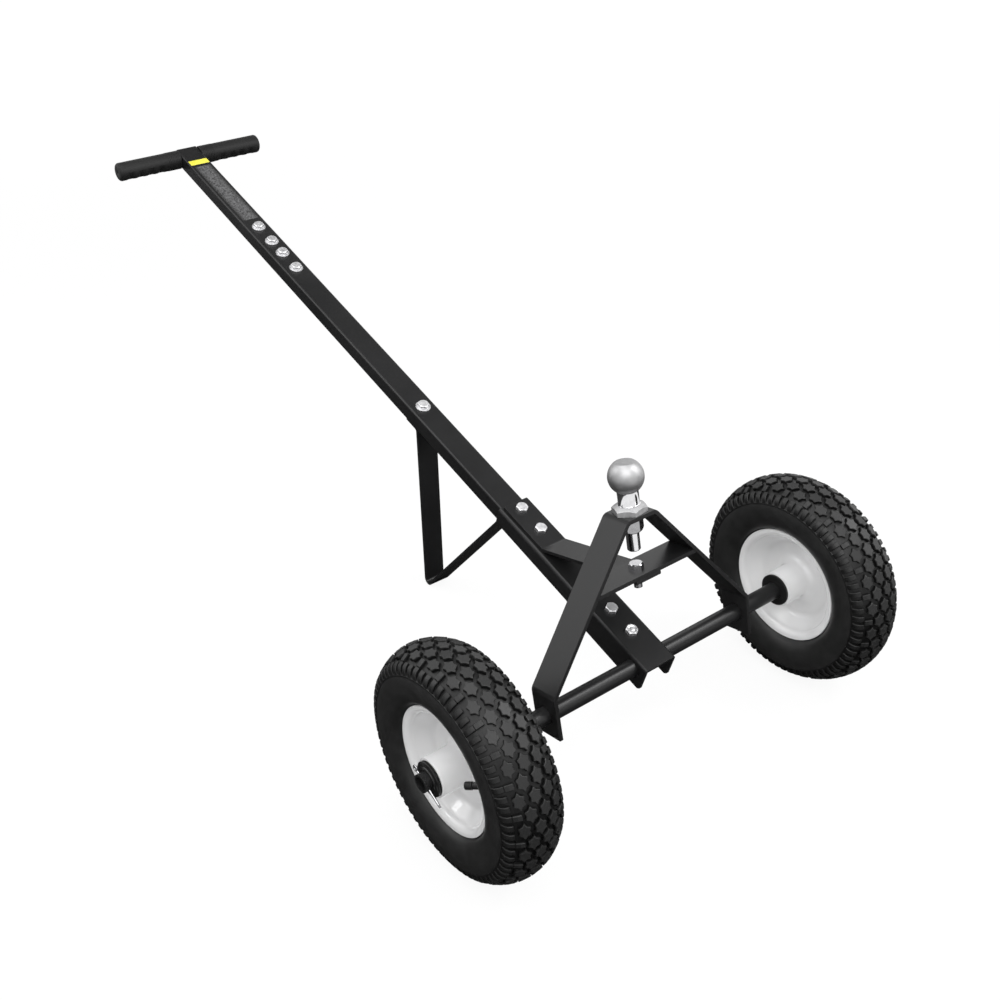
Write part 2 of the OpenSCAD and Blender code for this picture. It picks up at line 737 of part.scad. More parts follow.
module carcass_section() {
  foot = seat_edge + seat_gap;
  difference() {
    polygon(concat(
      crown_line(block_h, shoulder_tilt), sidewall(0, 1), bead(1),
      reversed(bead(-1)), reversed(sidewall(0, -1))));
    polygon(concat(
      crown_line(block_h + tyre_wall, shoulder_tilt - tyre_wall), sidewall(tyre_wall, 1),
      [[seat_r + tyre_wall, foot], [well_r, foot], [well_r, -foot], [seat_r + tyre_wall, -foot]],
      reversed(sidewall(tyre_wall, -1))));
  }
}
// A six-pointed star: four points at its flat ends and two that reach round the tyre
module star() {
  end = [star_w / 2, star_flat / 2];
  point = [0, star_l / 2];
  flank = end - point;
  inward = [flank.y, -flank.x] / norm(flank);
  notch = (end + point) / 2 + star_notch * inward;
  quarter = [end, notch, point];
  half = concat(quarter, [for (i = [1:-1:0]) [-quarter[i].x, quarter[i].y]]);
  flat = [[-star_w / 2 + star_notch, 0]];
  polygon(concat(half, flat, -half, -flat));
}
module star_blocks() {
  for (row = [0:block_rows - 1]) {
    tilt = asin((row - (block_rows - 1) / 2) * row_pitch / crown_r);
    stagger = (row % 2) * 180 / block_count;
    for (k = [0:block_count - 1])
      rotate([k * 360 / block_count + stagger, 0, 0]) translate([0, 0, crown_centre])
        rotate([0, tilt, 0]) translate([0, 0, crown_r - block_h - block_root])
          linear_extrude(block_h + block_root) star();
  }
}
module tyre(side) {
  color("black") at_wheel(side) union() {
    rotate([0, 90, 0]) rotate_extrude($fn = wheel_fn) carcass_section();
    star_blocks();
  }
}
module inner_tube(side) {
  roof = crown_centre + crown_r - block_h - tyre_wall - 2 * seat_gap;
  floor = seat_r + tyre_wall;
  tube_r = (roof - floor) / 2;
  color("black") at_wheel(side) rotate([0, 90, 0]) rotate_extrude($fn = wheel_fn)
    translate([(roof + floor) / 2, 0]) difference() {
      circle(tube_r, $fn = round_fn);
      circle(tube_r - tube_wall, $fn = round_fn);
    }
}
// One side of the rim's section: the flange curls out from the bead seat, the seat steps
// down to the well, and the bowl behind them runs through the disc into the hub
function sided(points, side) = [for (p = points) [p.x, side * p.y]];
function rim_outside(side) = sided(concat(
  [[flange_r, rim_w / 2 - rim_edge], [flange_r, rim_w / 2 - rim_t]],
  arc(curl, curl_r, 90, 180, bend_steps),
  [[seat_r, seat_edge], [well_r, well_edge]]), side);
function rim_bowl(side) = sided(concat(
  [[bush_d / 2 + seat_gap, hub_l / 2], [hub_d / 2 - rim_edge, hub_l / 2],
    [hub_d / 2, hub_l / 2 - rim_edge]],
  arc([hub_d / 2 + hub_fillet, disc_t / 2 + hub_fillet], hub_fillet, 180, 270, bend_steps),
  arc([well_r - rim_t - well_fillet, disc_t / 2 + well_fillet], well_fillet, -90, 0, bend_steps),
  [[well_r - rim_t, well_edge + step_shift], [seat_r - rim_t, seat_edge + step_shift]],
  arc(curl, curl_r + rim_t, 180, 90, bend_steps),
  [[flange_r - rim_edge, rim_w / 2]]), side);
module rim_section() {
  polygon(concat(
    rim_outside(1), reversed(rim_outside(-1)), reversed(rim_bowl(-1)), rim_bowl(1)));
}
module valve_line() {
  rotate([-valve_angle, 0, 0]) translate([valve_root, -well_r, 0])
    rotate([-90, 0, 0]) rotate([0, valve_lean, 0]) children();
}
module rim(side) {
  color("white") at_wheel(side) difference() {
    rotate([0, 90, 0]) rotate_extrude($fn = wheel_fn) rim_section();
    valve_line() cylinder(d = valve_d + 2 * seat_gap, h = 2 * flange_r, center = true, $fn = round_fn);
  }
}
module bush(side, face) {
  color("black") at_wheel(side) mirror([face < 0 ? 1 : 0, 0, 0]) translate([hub_l / 2, 0, 0])
    rotate([0, 90, 0]) difference() {
      union() {
        cylinder(d = bush_flange_d, h = bush_flange_t, $fn = round_fn);
        translate([0, 0, -bush_l]) cylinder(d = bush_d, h = bush_l + past / 2, $fn = round_fn);
      }
      translate([0, 0, -bush_l - past])
        cylinder(r = axle_d / 2 + run_gap, h = bush_l + 2 * past + bush_flange_t, $fn = round_fn);
    }
}
module valve_stem(side) {
  // Length from the well up to the inner tube
  root_l = (seat_r + tyre_wall - well_r - valve_d / 2 * sin(valve_lean)) / cos(valve_lean) - seat_gap;
  color("black") at_wheel(side) valve_line()
    translate([0, 0, -root_l]) cylinder(d = valve_d, h = root_l + valve_l, $fn = round_fn);
}
module valve_cap(side) {
  color("black") at_wheel(side) valve_line()
    translate([0, 0, valve_l]) cylinder(d = valve_d, h = cap_l, $fn = round_fn);
}

lower_handle_tube();
upper_handle_tube();
splice_sleeve();
splice_bolts();
splice_washers();
splice_nuts();
cross_bar();
left_grip();
right_grip();
stand_strap();
stand_bolt();
stand_washer();
stand_nut();
axle_channel();
channel_bolts();
channel_nuts();
brace_strap();
brace_bolts();
brace_nuts();
a_frame();
cross_plate();
cross_plate_bolt();
cross_plate_nut();
hitch_ball();
hitch_lock_washer();
hitch_nut();
axle();
stop_washer(-1);  // left_stop_washer
outer_washer(-1);  // left_outer_washer
split_pin(-1);  // left_split_pin
tyre(-1);  // left_tyre
inner_tube(-1);  // left_inner_tube
rim(-1);  // left_rim
bush(-1, 1);  // left_outer_bush
bush(-1, -1);  // left_inner_bush
valve_stem(-1);  // left_valve_stem
valve_cap(-1);  // left_valve_cap
stop_washer(1);  // right_stop_washer
outer_washer(1);  // right_outer_washer
split_pin(1);  // right_split_pin
tyre(1);  // right_tyre
inner_tube(1);  // right_inner_tube
rim(1);  // right_rim
bush(1, 1);  // right_outer_bush
bush(1, -1);  // right_inner_bush
valve_stem(1);  // right_valve_stem
valve_cap(1);  // right_valve_cap
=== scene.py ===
# %% [markdown]
# # Finishing a two-wheeled trailer dolly
# A trailer dolly is a steel lever on two air-filled wheels. A T-bar handle lifts and steers,
# a V-shaped stand holds it level when it is parked, and a leaning A-frame carries the hitch
# ball that goes into the trailer's coupler. The solid model fixes every size and joint. This
# lesson dresses it: sheared steel gets its soft edges, the wheels get their real sections and
# star-block tread, and each surface gets the finish it has on the real tool.

# %% Load the fixed frame
from math import asin, atan2, cos, degrees, pi, radians, sin, sqrt

import bmesh
import bpy
from mathutils import Matrix, Vector


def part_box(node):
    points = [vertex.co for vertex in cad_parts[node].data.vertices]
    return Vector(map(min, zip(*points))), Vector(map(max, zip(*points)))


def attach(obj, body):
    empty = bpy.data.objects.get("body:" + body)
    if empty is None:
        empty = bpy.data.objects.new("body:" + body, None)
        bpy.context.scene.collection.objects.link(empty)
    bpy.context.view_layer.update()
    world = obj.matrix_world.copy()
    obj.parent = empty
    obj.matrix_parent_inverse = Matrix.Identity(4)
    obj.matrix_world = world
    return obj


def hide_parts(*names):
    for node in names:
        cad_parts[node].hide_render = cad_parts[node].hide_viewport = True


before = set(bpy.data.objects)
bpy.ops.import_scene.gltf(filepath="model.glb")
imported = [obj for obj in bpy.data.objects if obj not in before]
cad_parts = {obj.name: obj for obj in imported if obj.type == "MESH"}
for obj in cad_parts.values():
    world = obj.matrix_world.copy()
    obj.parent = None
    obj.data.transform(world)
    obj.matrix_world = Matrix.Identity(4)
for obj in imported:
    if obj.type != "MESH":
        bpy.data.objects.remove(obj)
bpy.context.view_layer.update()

MM = 0.001

# %% [markdown]
# ## Where everything sits
# The frame gives boxes of the solid parts, so the axle's centre line and the wheels' planes are
# read from it. The handle's slope and the A-frame's lean are the solid model's own angles. Two
# matrices carry a piece that is drawn upright at the origin to the handle or to the A-frame.

# %% Main places
HANDLE_SLOPE, FRAME_LEAN = 16.7, 12.3  # degrees
low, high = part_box("right_rim")
AXLE = Vector((0, (low.y + high.y) / 2, (low.z + high.z) / 2))
WHEEL_X = (low.x + high.x) / 2


def turn(angle, axis):
    """A turn by this many degrees about an axis through the origin."""
    return Matrix.Rotation(radians(angle), 4, axis)


HANDLE = Matrix.Translation(AXLE) @ turn(HANDLE_SLOPE, "X")
A_FRAME = Matrix.Translation(AXLE) @ turn(-FRAME_LEAN, "X")
print("axle centre", [round(v / MM, 2) for v in AXLE], "wheel plane", round(WHEEL_X / MM, 2))

# %% [markdown]
# ## The camera
# The tool is seen from its left front, from a little above, so that the handle runs away to the
# upper left and both wheels show. A lens of about 44 mm keeps the depth that a person three steps
# away would see. The camera is placed by the directions of its view and its upper edge, because a
# look-at point alone can't hold a slight roll.

# %% Camera
LENS, FILM_WIDTH = 44.197, 36  # millimetres
bpy.ops.object.select_all(action="DESELECT")
bpy.ops.object.camera_add(location=(-0.9795, -1.5725, 1.3113))
camera = bpy.context.object
camera.name = "camera"
ahead = Vector((0.50497, 0.67555, -0.53724)).normalized()
rightward = ahead.cross(Vector((0.33670, 0.41895, 0.84329))).normalized()
upward = rightward.cross(ahead)
aim = Matrix((rightward, upward, -ahead)).transposed().to_4x4()
camera.matrix_world = Matrix.Translation(camera.location) @ aim
camera.data.lens = LENS
camera.data.sensor_width = FILM_WIDTH
camera.data.clip_start, camera.data.clip_end = 0.05, 60
bpy.context.scene.camera = camera
bpy.context.scene.view_settings.view_transform = "Standard"
print("camera at", [round(v, 3) for v in camera.location], "lens", camera.data.lens)

# %% [markdown]
# ## Working by hand
# Edit-mode tools act on what is selected, so each step needs the same few moves: let go of
# everything, take one piece, and pick its faces or edges by where they lie and which way they
# point.

# %% Helpers for taking and picking
def let_go():
    """Deselects every object."""
    bpy.ops.object.select_all(action="DESELECT")


def take(piece):
    """Makes one piece the only one that the next tool works on."""
    let_go()
    piece.select_set(True)
    bpy.context.view_layer.objects.active = piece
    return piece


def open_up(piece, action="DESELECT"):
    """Enters edit mode with nothing picked, or with all of the piece."""
    take(piece)
    bpy.ops.object.mode_set(mode="EDIT")
    bpy.ops.mesh.select_mode(type="VERT")
    bpy.ops.mesh.select_all(action=action)


def close_up():
    """Leaves edit mode."""
    bpy.ops.object.mode_set(mode="OBJECT")


def pick(kind, test):
    """Selects the vertices, edges or faces that pass a test, and counts them."""
    bpy.ops.mesh.select_mode(type=kind)
    bpy.ops.mesh.select_all(action="DESELECT")
    mesh = bpy.context.edit_object.data
    shell = bmesh.from_edit_mesh(mesh)
    if kind == "VERT":
        found = [v for v in shell.verts if test(v.co)]
    elif kind == "EDGE":
        ends = [(e, e.verts[0].co, e.verts[1].co) for e in shell.edges]
        found = [e for e, start, end in ends if test((start + end) / 2, end - start)]
    else:
        found = [f for f in shell.faces if test(f.calc_center_median(), f.normal)]
    for item in found:
        item.select_set(True)
    shell.select_flush_mode()
    bmesh.update_edit_mesh(mesh)
    return len(found)


print("picking helpers ready")

# %% [markdown]
# ## Keeping pieces tidy
# A piece is drawn where that is easiest and then carried to its place by a matrix. The move is
# applied to the mesh at once, so the object stays at the origin and the patterns of its finish
# lie still. Spinning and mirroring leave doubled points and faces that look inwards, so one
# helper mends both.

# %% Helpers for naming, seating, mending and copying
def named(name):
    """Gives the piece that was just made, and its mesh, one name."""
    piece = bpy.context.object
    piece.name = piece.data.name = name
    return piece


def seat(piece, place):
    """Carries a piece to its place and leaves its object at the origin."""
    take(piece)
    piece.matrix_world = place @ piece.matrix_world
    bpy.ops.object.transform_apply()
    return piece


def heal(piece, merge=True):
    """Merges doubles, unless told not to, and turns all faces outwards."""
    open_up(piece, "SELECT")
    if merge:
        bpy.ops.mesh.remove_doubles(threshold=0.002 * MM)
    bpy.ops.mesh.normals_make_consistent(inside=False)
    close_up()
    return piece


def copied(piece, name):
    """Copies a piece with a mesh of its own."""
    take(piece)
    bpy.ops.object.duplicate()
    return named(name)


print("seating helpers ready")

# %% [markdown]
# ## Values and wiring
# Wiring shader sums node by node hides the arithmetic. So one small class wraps a socket and
# lets plus, minus and times add the Math nodes, with reflected forms for a plain number on the
# left. A second class holds a tree of nodes, and every node comes from one method, which sets
# options first and inputs after, since some options change which inputs there are.

# %% A class for values
class Amount:
    """A value that changes over a surface."""

    def __init__(self, wiring, socket):
        self.wiring, self.socket = wiring, socket

    def math(self, operation, first, second=0.0):
        return self.wiring.node("Math", {"operation": operation}, {0: first, 1: second})

    def __add__(self, other):
        return self.math("ADD", self, other)

    __radd__ = __add__

    def __mul__(self, other):
        return self.math("MULTIPLY", self, other)

    __rmul__ = __mul__

    def __sub__(self, other):
        return self.math("SUBTRACT", self, other)

    def __rsub__(self, other):
        return self.math("SUBTRACT", other, self)

    def above(self, other):
        return self.math("GREATER_THAN", self, other)

    def root(self):
        return self.math("SQRT", self)

    def wave(self):
        return self.math("SINE", self)

    def size(self):
        return self.math("ABSOLUTE", self)


print("values ready")

# %% A class for wiring
class Wiring:
    """A node tree whose sockets take numbers or amounts."""

    def __init__(self, tree):
        self.tree = tree

    def put(self, socket, value):
        if isinstance(value, Amount):
            self.tree.links.new(value.socket, socket)
        else:
            socket.default_value = value

    def node(self, kind, settings=None, inputs=None, out=0):
        """Adds a node, sets its options, fills its inputs and returns one output."""
        made = self.tree.nodes.new("ShaderNode" + kind)
        for option, value in (settings or {}).items():
            if option == "stops":
                while len(made.color_ramp.elements) < len(value):
                    made.color_ramp.elements.new(0.5)
                for stop, (spot, colour) in zip(made.color_ramp.elements, value):
                    stop.position, stop.color = spot, colour
            else:
                setattr(made, option, value)
        for socket, value in (inputs or {}).items():
            self.put(made.inputs[socket], value)
        return Amount(self, made.outputs[out])


print("wiring ready")

# %% [markdown]
# ## Finishes from arithmetic
# A finish is a recipe: where on the piece, how strong, how rough. This class holds one
# material and gives its shader plain numbers or amounts. Patterns read Object coordinates,
# which are metres here, so a scale of 1000 is about 1 mm.

# %% A class for finishes
class Finish(Wiring):
    """A material on the usual shader."""

    def __init__(self, name, colour, roughness, metallic=0.0):
        self.material = bpy.data.materials.new(name)
        self.material.use_nodes = True
        super().__init__(self.material.node_tree)
        self.shader = self.tree.nodes["Principled BSDF"]
        self.material.diffuse_color = (*colour, 1)
        self.give("Base Color", (*colour, 1))
        self.give("Roughness", roughness)
        self.give("Metallic", metallic)
        self.place = self.node("TexCoord", out="Object")

    def give(self, socket, value):
        """Puts a number or an amount into one of the shader's sockets."""
        self.put(self.shader.inputs[socket], value)

    def speckle(self, scale, detail=2.0, roughness=0.5):
        """Soft noise from 0 to 1; scale counts spots per metre."""
        inputs = {"Vector": self.place, "Scale": scale, "Detail": detail, "Roughness": roughness}
        return self.node("TexNoise", {}, inputs, out="Fac")

    def ramp(self, value, *stops):
        """A colour that runs through the stops as the value goes from 0 to 1."""
        solid = [(spot, (*colour, 1)) for spot, colour in stops]
        return self.node("ValToRGB", {"stops": solid}, {"Fac": value})

    def mix(self, share, first, second):
        """A colour between two colours."""
        return self.node("Mix", {"data_type": "RGBA"}, {0: share, 6: first, 7: second}, out=2)

    def coordinate(self, axis):
        """One object coordinate, in metres."""
        return self.node("SeparateXYZ", {}, {"Vector": self.place}, out=axis)

    def from_axle(self):
        """Distance from the axle's centre line, in metres."""
        across = self.coordinate("Y") - AXLE.y
        height = self.coordinate("Z") - AXLE.z
        return (across * across + height * height).root()

    def relief(self, height, depth, strength):
        """Tips the light as if the surface had this height, times a depth in millimetres."""
        inputs = {"Height": height, "Distance": depth * MM, "Strength": strength}
        self.give("Normal", self.node("Bump", {}, inputs, out="Normal"))


def grey(level, blue=0.0):
    """A neutral colour, or one that leans a little to blue."""
    return (level, level, level + blue)


print("finishes ready")

# %% [markdown]
# ## Black powder coat
# The handle, stand, channel, brace, A-frame and axle are mild steel under baked black powder,
# which melts into a satin skin with a fine orange peel. A bump of two noises gives the peel, and
# the roughness drifts a little so that a long flat bar doesn't reflect like glass.

# %% Finish for powder-coated steel
finish = Finish("black_powder_coat", grey(0.016, 0.001), 0.4)
cloud = finish.speckle(9, 3)
peel = finish.speckle(620, 2) * 0.7 + finish.speckle(1700, 1) * 0.3
thin, thick = grey(0.008, 0.0003), grey(0.012, 0.0004)
finish.give("Base Color", finish.ramp(cloud, (0.3, thin), (0.7, thick)))
finish.give("Roughness", 0.28 + cloud * 0.08 + peel * 0.05)
finish.give("Specular IOR Level", 0.3)
finish.relief(peel, 0.12, 0.35)
black_steel = finish.material
print("made", black_steel.name)

# %% [markdown]
# ## Zinc, satin steel and chrome
# Bolts, nuts and washers are zinc plated: bright, slightly blue-grey, with a faint spangle. The
# ball is satin polished, its collar is a greyer zinc, and the neck and shank are bright chrome.
# All are full metals that differ in roughness and the scale of their marks, so one function makes
# them.

# %% Finishes for bare and plated metal
def plated(name, dark, light, blue, rough, drift, grain, depth):
    finish = Finish(name, grey(light, blue), rough, 1.0)
    cloud = finish.speckle(160, 3)
    marks = finish.speckle(grain, 2)
    spangle = finish.ramp(cloud, (0.3, grey(dark, blue)), (0.7, grey(light, blue)))
    finish.give("Base Color", spangle)
    finish.give("Roughness", rough + cloud * drift + marks * drift * 0.5)
    finish.relief(marks, depth, 0.3)
    return finish.material


METALS = {  # dark, light, blue, roughness, drift of roughness, grain, depth
    "zinc_plate": (0.60, 0.78, 0.01, 0.34, 0.16, 900, 0.10),
    "bright_zinc": (0.38, 0.48, 0.01, 0.20, 0.06, 700, 0.04),
    "satin_ball_steel": (0.34, 0.39, 0.004, 0.45, 0.06, 2200, 0.03),
    "collar_zinc": (0.44, 0.54, 0.005, 0.40, 0.12, 900, 0.06),
    "bright_chrome": (0.74, 0.82, 0.01, 0.05, 0.04, 400, 0.01),
}
zinc, bright_zinc, satin_ball, collar_zinc, chrome = [
    plated(name, *numbers) for name, numbers in METALS.items()]
print("made", *METALS)

# %% [markdown]
# ## Rubber and nylon
# The grips are a soft matt rubber with a stippled skin. The bushes and the washers at the wheels
# are smoother and blacker, the valves shine a little, and the hidden inner tubes are dull. Grain
# size and roughness tell them apart more than colour does.

# %% Finishes for rubber and nylon
def moulded(name, dark, light, rough, grain, depth, bloom, gloss):
    finish = Finish(name, grey(light), rough)
    finish.give("Specular IOR Level", gloss)
    cloud = finish.speckle(bloom, 4)
    skin = finish.speckle(grain, 2) * 0.6 + finish.speckle(grain * 2.7, 1) * 0.4
    finish.give("Base Color", finish.ramp(cloud, (0.3, grey(dark)), (0.72, grey(light))))
    finish.give("Roughness", rough + cloud * 0.08 + skin * 0.08)
    finish.relief(skin, depth, 0.4)
    return finish.material


MOULDED = {  # dark, light, roughness, grain, depth, bloom, gloss
    "grip_rubber": (0.006, 0.012, 0.45, 1500, 0.15, 30, 0.25),
    "black_nylon": (0.007, 0.012, 0.30, 1200, 0.06, 60, 0.35),
    "black_washer": (0.007, 0.012, 0.24, 1100, 0.06, 60, 0.35),
    "valve_rubber": (0.006, 0.010, 0.34, 1300, 0.08, 60, 0.35),
    "tube_rubber": (0.010, 0.016, 0.6, 900, 0.1, 20, 0.35),
}
grip_rubber, black_nylon, black_washer, valve_rubber, tube_rubber = [
    moulded(name, *numbers) for name, numbers in MOULDED.items()]
print("made", *MOULDED)

# %% [markdown]
# ## Tyre rubber
# The floor between the blocks is painted darker than their tops: painted shade in the grooves.
# How high a spot lies between the two follows from its distance to the centre of the crown's arc.
# The finish works that out and blends two colours, paints the tops darker again past the shoulder
# as painted shade, and leaves the sidewall in one even tone.

# %% Finish for the tyres
CROWN_C, FLOOR_R = 106.03, 57.5  # the crown's centre from the axle, the floor's radius about it
TREAD_FROM, SHOULDER_FROM = 138, 31.5  # distance from the axle, and from the wheel's plane
finish = Finish("tyre_rubber", grey(0.016), 0.36)
finish.give("Specular IOR Level", 0.3)
across = finish.coordinate("X").size() - WHEEL_X
outward = finish.from_axle() - CROWN_C * MM
height = (across * across + outward * outward).root() - FLOOR_R * MM
height = height * (1 / (4.5 * MM))
on_tread = finish.from_axle().above(TREAD_FROM * MM)
cloud = finish.speckle(60, 4)
skin = finish.speckle(700, 2) * 0.6 + finish.speckle(1900, 1) * 0.4
wall = finish.ramp(cloud, (0.3, grey(0.011)), (0.72, grey(0.018)))
shoulder = across.size().above(SHOULDER_FROM * MM)
# Painted shade: the ramp paints the tread's floor between the blocks dark and their tops lighter,
# and the mix paints the shoulder darker again.
groove_shade_level = height + (cloud - 0.5) * 0.5
tread_with_painted_shade = finish.ramp(groove_shade_level, (0.35, grey(0.003)), (0.9, grey(0.018)))
tread_with_painted_shade = finish.mix(shoulder * 0.6, tread_with_painted_shade, (*grey(0.006), 1))
finish.give("Base Color", finish.mix(on_tread, wall, tread_with_painted_shade))
finish.give("Roughness", 0.34 + cloud * 0.08 + skin * 0.08)
finish.relief(skin, 0.25, 0.4)
tyre_rubber = finish.material
print("made", tyre_rubber.name)

# %% [markdown]
# ## White rim enamel
# Each rim is pressed and welded steel under gloss white enamel. Pressing leaves faint rings round
# the barrel, one every three millimetres or so. They are a wave of the distance from the axle,
# which is the same sum for both wheels, and a clear coat gives the gloss.

# %% Finish for the rims
RING_TURNS = 1900  # radians of the wave for each metre
finish = Finish("white_rim_enamel", grey(0.78), 0.3)
reach = finish.from_axle()
rings = (reach * RING_TURNS).wave() * 0.5 + 0.5
cloud = finish.speckle(14, 3)
peel = finish.speckle(420, 2)
finish.give("Base Color", finish.ramp(cloud, (0.3, grey(0.72, 0.005)), (0.7, grey(0.77))))
finish.give("Roughness", 0.30 + cloud * 0.06 + peel * 0.05)
finish.relief(peel + rings * 0.25, 0.05, 0.3)
finish.give("Coat Weight", 0.8)
finish.give("Coat Roughness", 0.06)
rim_white = finish.material
print("made", rim_white.name)

# %% [markdown]
# ## Soft edges
# Light catches a rounded edge as a thin bright line, and without that line steel looks like
# paper. A bevel rounds every edge that is sharper than a limit, smooth shading joins what isn't
# sharp, and weighted normals keep the flat faces flat in the light.

# %% Helpers for smooth faces and soft edges
def smooth(piece, limit=35):
    """Shades a piece smooth except over its sharp edges."""
    take(piece)
    bpy.ops.object.shade_smooth_by_angle(angle=radians(limit))
    return piece


def soften(piece, width, limit=30, steps=2):
    """Rounds the sharp edges of a piece and keeps its flat faces flat in the light."""
    take(piece)
    bevel = piece.modifiers.new("soft_edges", "BEVEL")
    bevel.width = width
    bevel.segments = steps
    bevel.limit_method = "ANGLE"
    bevel.angle_limit = radians(limit)
    bevel.use_clamp_overlap = True
    bpy.ops.object.modifier_apply(modifier=bevel.name)
    smooth(piece)
    even = piece.modifiers.new("even_light", "WEIGHTED_NORMAL")
    even.keep_sharp = True
    bpy.ops.object.modifier_apply(modifier=even.name)
    return piece


print("edge helpers ready")

# %% [markdown]
# ## Dressed nodes
# The straps, tubes, bolts and nuts already have their right shapes in the solid model, but their
# edges are perfectly sharp, and real sheared or pressed steel never is. Rebuilding each from a
# primitive would risk a wrong size. So a node's mesh is copied and merged, its flat faces are
# dissolved into one, its edges are rounded by a fraction of a millimetre, and the copy then
# stands for the node.

# %% Helpers that finish a piece and dress a node
def finished(piece, body, slot, material, *nodes):
    """Gives a piece its material and body and hides the nodes it stands for. The slot is not
    used.
    """
    piece.data.materials.clear()
    piece.data.materials.append(material)
    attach(piece, body)
    if nodes:
        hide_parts(*nodes)
    return piece


def dressed(node, body, slot, width, material):
    """Copies a node, rounds its edges by a width in millimetres and finishes the copy."""
    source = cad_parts[node]
    piece = copied(source, "dressed_" + node)
    piece.parent = None
    for key in list(piece.keys()):
        del piece[key]
    open_up(piece, "SELECT")
    bpy.ops.mesh.remove_doubles(threshold=0.01 * MM)
    bpy.ops.mesh.dissolve_limited(angle_limit=radians(0.5))
    close_up()
    if piece.data.has_custom_normals:
        bpy.ops.mesh.customdata_custom_splitnormals_clear()
    soften(piece, width * MM)
    return finished(piece, body, slot, material, node)


print("dressing helpers ready")

# %% [markdown]
# ## Straps, tubes and the axle
# The frame is cut from flat bar and tube, welded, and coated in one go, so all of it shares one
# finish. A thick bar keeps a wider edge under the powder than a thin tube does.

# %% Dress the powder-coated steel
for node, width in {
    "lower_handle_tube": 0.25, "upper_handle_tube": 0.25, "splice_sleeve": 0.3, "cross_bar": 0.4,
    "stand_strap": 0.6, "axle_channel": 0.5, "brace_strap": 0.6, "a_frame": 0.6,
    "cross_plate": 0.5, "axle": 0.8,
}.items():
    piece = dressed(node, "frame", "black_powder_coat", width, black_steel)
    print(piece.name, len(piece.data.polygons), "faces")

# %% [markdown]
# ## Fasteners
# Bolts, nuts and washers are stamped or cold-headed, and their edges are broken by about a third
# of a millimetre. The split pins, the ball's nut and the cross plate's bolt are shinier than the
# rest, so they take the brighter of the two platings.

# %% Dress the plated fasteners
BRIGHT = ("cross_plate_bolt", "hitch_nut", "left_split_pin", "right_split_pin")
for node in (
    "splice_bolts", "splice_washers", "splice_nuts", "stand_bolt", "stand_washer", "stand_nut",
    "channel_bolts", "channel_nuts", "brace_bolts", "brace_nuts", "cross_plate_bolt",
    "cross_plate_nut", "hitch_lock_washer", "hitch_nut", "left_split_pin", "right_split_pin",
):
    piece = dressed(node, "frame", "zinc_steel", 0.35, bright_zinc if node in BRIGHT else zinc)
    print(piece.name, len(piece.data.polygons), "faces")

# %% [markdown]
# ## A dished head
# Cold heading left a shallow dish in the lowest bolt's head, with a low boss in the middle. A
# boolean with a small cutter could make it, but three insets of the head's top face are quicker
# and keep the mesh clean.

# %% Dish the lowest bolt's head
BOLT_S = 42  # the lowest bolt's place along the handle
bolts = bpy.data.objects["dressed_channel_bolts"]
handle_up = HANDLE.to_3x3() @ Vector((0, 0, 1))
bolt_centre = HANDLE @ Vector((0, BOLT_S * MM, 0))


def on_head(p, n):
    """True for the face on top of the lowest bolt's head."""
    reach = p - bolt_centre
    rise = reach.dot(handle_up)
    from_line = (reach - handle_up * rise).length
    return n.dot(handle_up) > 0.99 and rise > 0 and from_line < 2 * MM


open_up(bolts)
heads = pick("FACE", on_head)
for border, drop in ((1.6, 0), (1.2, -1.0), (1.5, 0.5)):
    bpy.ops.mesh.inset(thickness=border * MM, depth=drop * MM)
close_up()
print("dished", heads, "bolt head")

# %% [markdown]
# ## Bushes, stop washers and inner tubes
# The bushes are moulded nylon flanges in the hub's ends, a stop washer is welded on the axle
# inside each wheel, and the inner tubes are out of sight. All keep the solid model's shape and
# only need a finish and soft edges.

# %% Dress the stop washers, bushes and inner tubes
for side in ("left", "right"):
    dressed(side + "_stop_washer", "frame", "black_washer", 0.3, black_washer)
    dressed(side + "_inner_bush", side + "_wheel", "black_nylon", 0.3, black_nylon)
    dressed(side + "_outer_bush", side + "_wheel", "black_nylon", 0.3, black_nylon)
    dressed(side + "_inner_tube", side + "_wheel", "tube_rubber", 0.2, tube_rubber)
print("soft and moulded nodes dressed")

# %% [markdown]
# ## Turned pieces
# Rims, tyres, valves, grips and the ball are all round about one line. A cylinder pulled and
# pinched ring by ring would get there, but a section is easier to read: one vertex is extruded
# from point to point and the chain is spun in a full circle. Points are a distance along the line
# and a radius, in millimetres, as on a turner's drawing.

# %% Helpers for turned pieces
def turned(name, line, steps=96):
    """A chain of points, each (distance along, radius) in millimetres, spun round the X axis."""
    let_go()
    bpy.ops.mesh.primitive_plane_add(size=MM, location=(0, 0, 0))
    piece = named(name)
    bpy.ops.object.mode_set(mode="EDIT")
    bpy.ops.mesh.select_mode(type="VERT")
    bpy.ops.mesh.select_all(action="SELECT")
    bpy.ops.mesh.merge(type="CENTER")
    bpy.ops.transform.translate(value=(line[0][0] * MM, 0, line[0][1] * MM))
    for here, there in zip(line, line[1:]):
        step = ((there[0] - here[0]) * MM, 0, (there[1] - here[1]) * MM)
        bpy.ops.mesh.extrude_vertices_move(TRANSFORM_OT_translate={"value": step})
    bpy.ops.mesh.select_all(action="SELECT")
    bpy.ops.mesh.spin(steps=steps, angle=2 * pi, center=(0, 0, 0), axis=(1, 0, 0))
    close_up()
    return heal(piece)


def arc(centre, radius, start, end, steps):
    """Points on an arc, each (distance along, radius), with angles from the turning axis."""
    turns = [radians(start + (end - start) * i / steps) for i in range(steps + 1)]
    return [(centre[0] + radius * cos(a), centre[1] + radius * sin(a)) for a in turns]


def mirror(line):
    """The same points on the other side of the wheel's plane."""
    return [(-x, r) for x, r in line]


print("turning helpers ready")

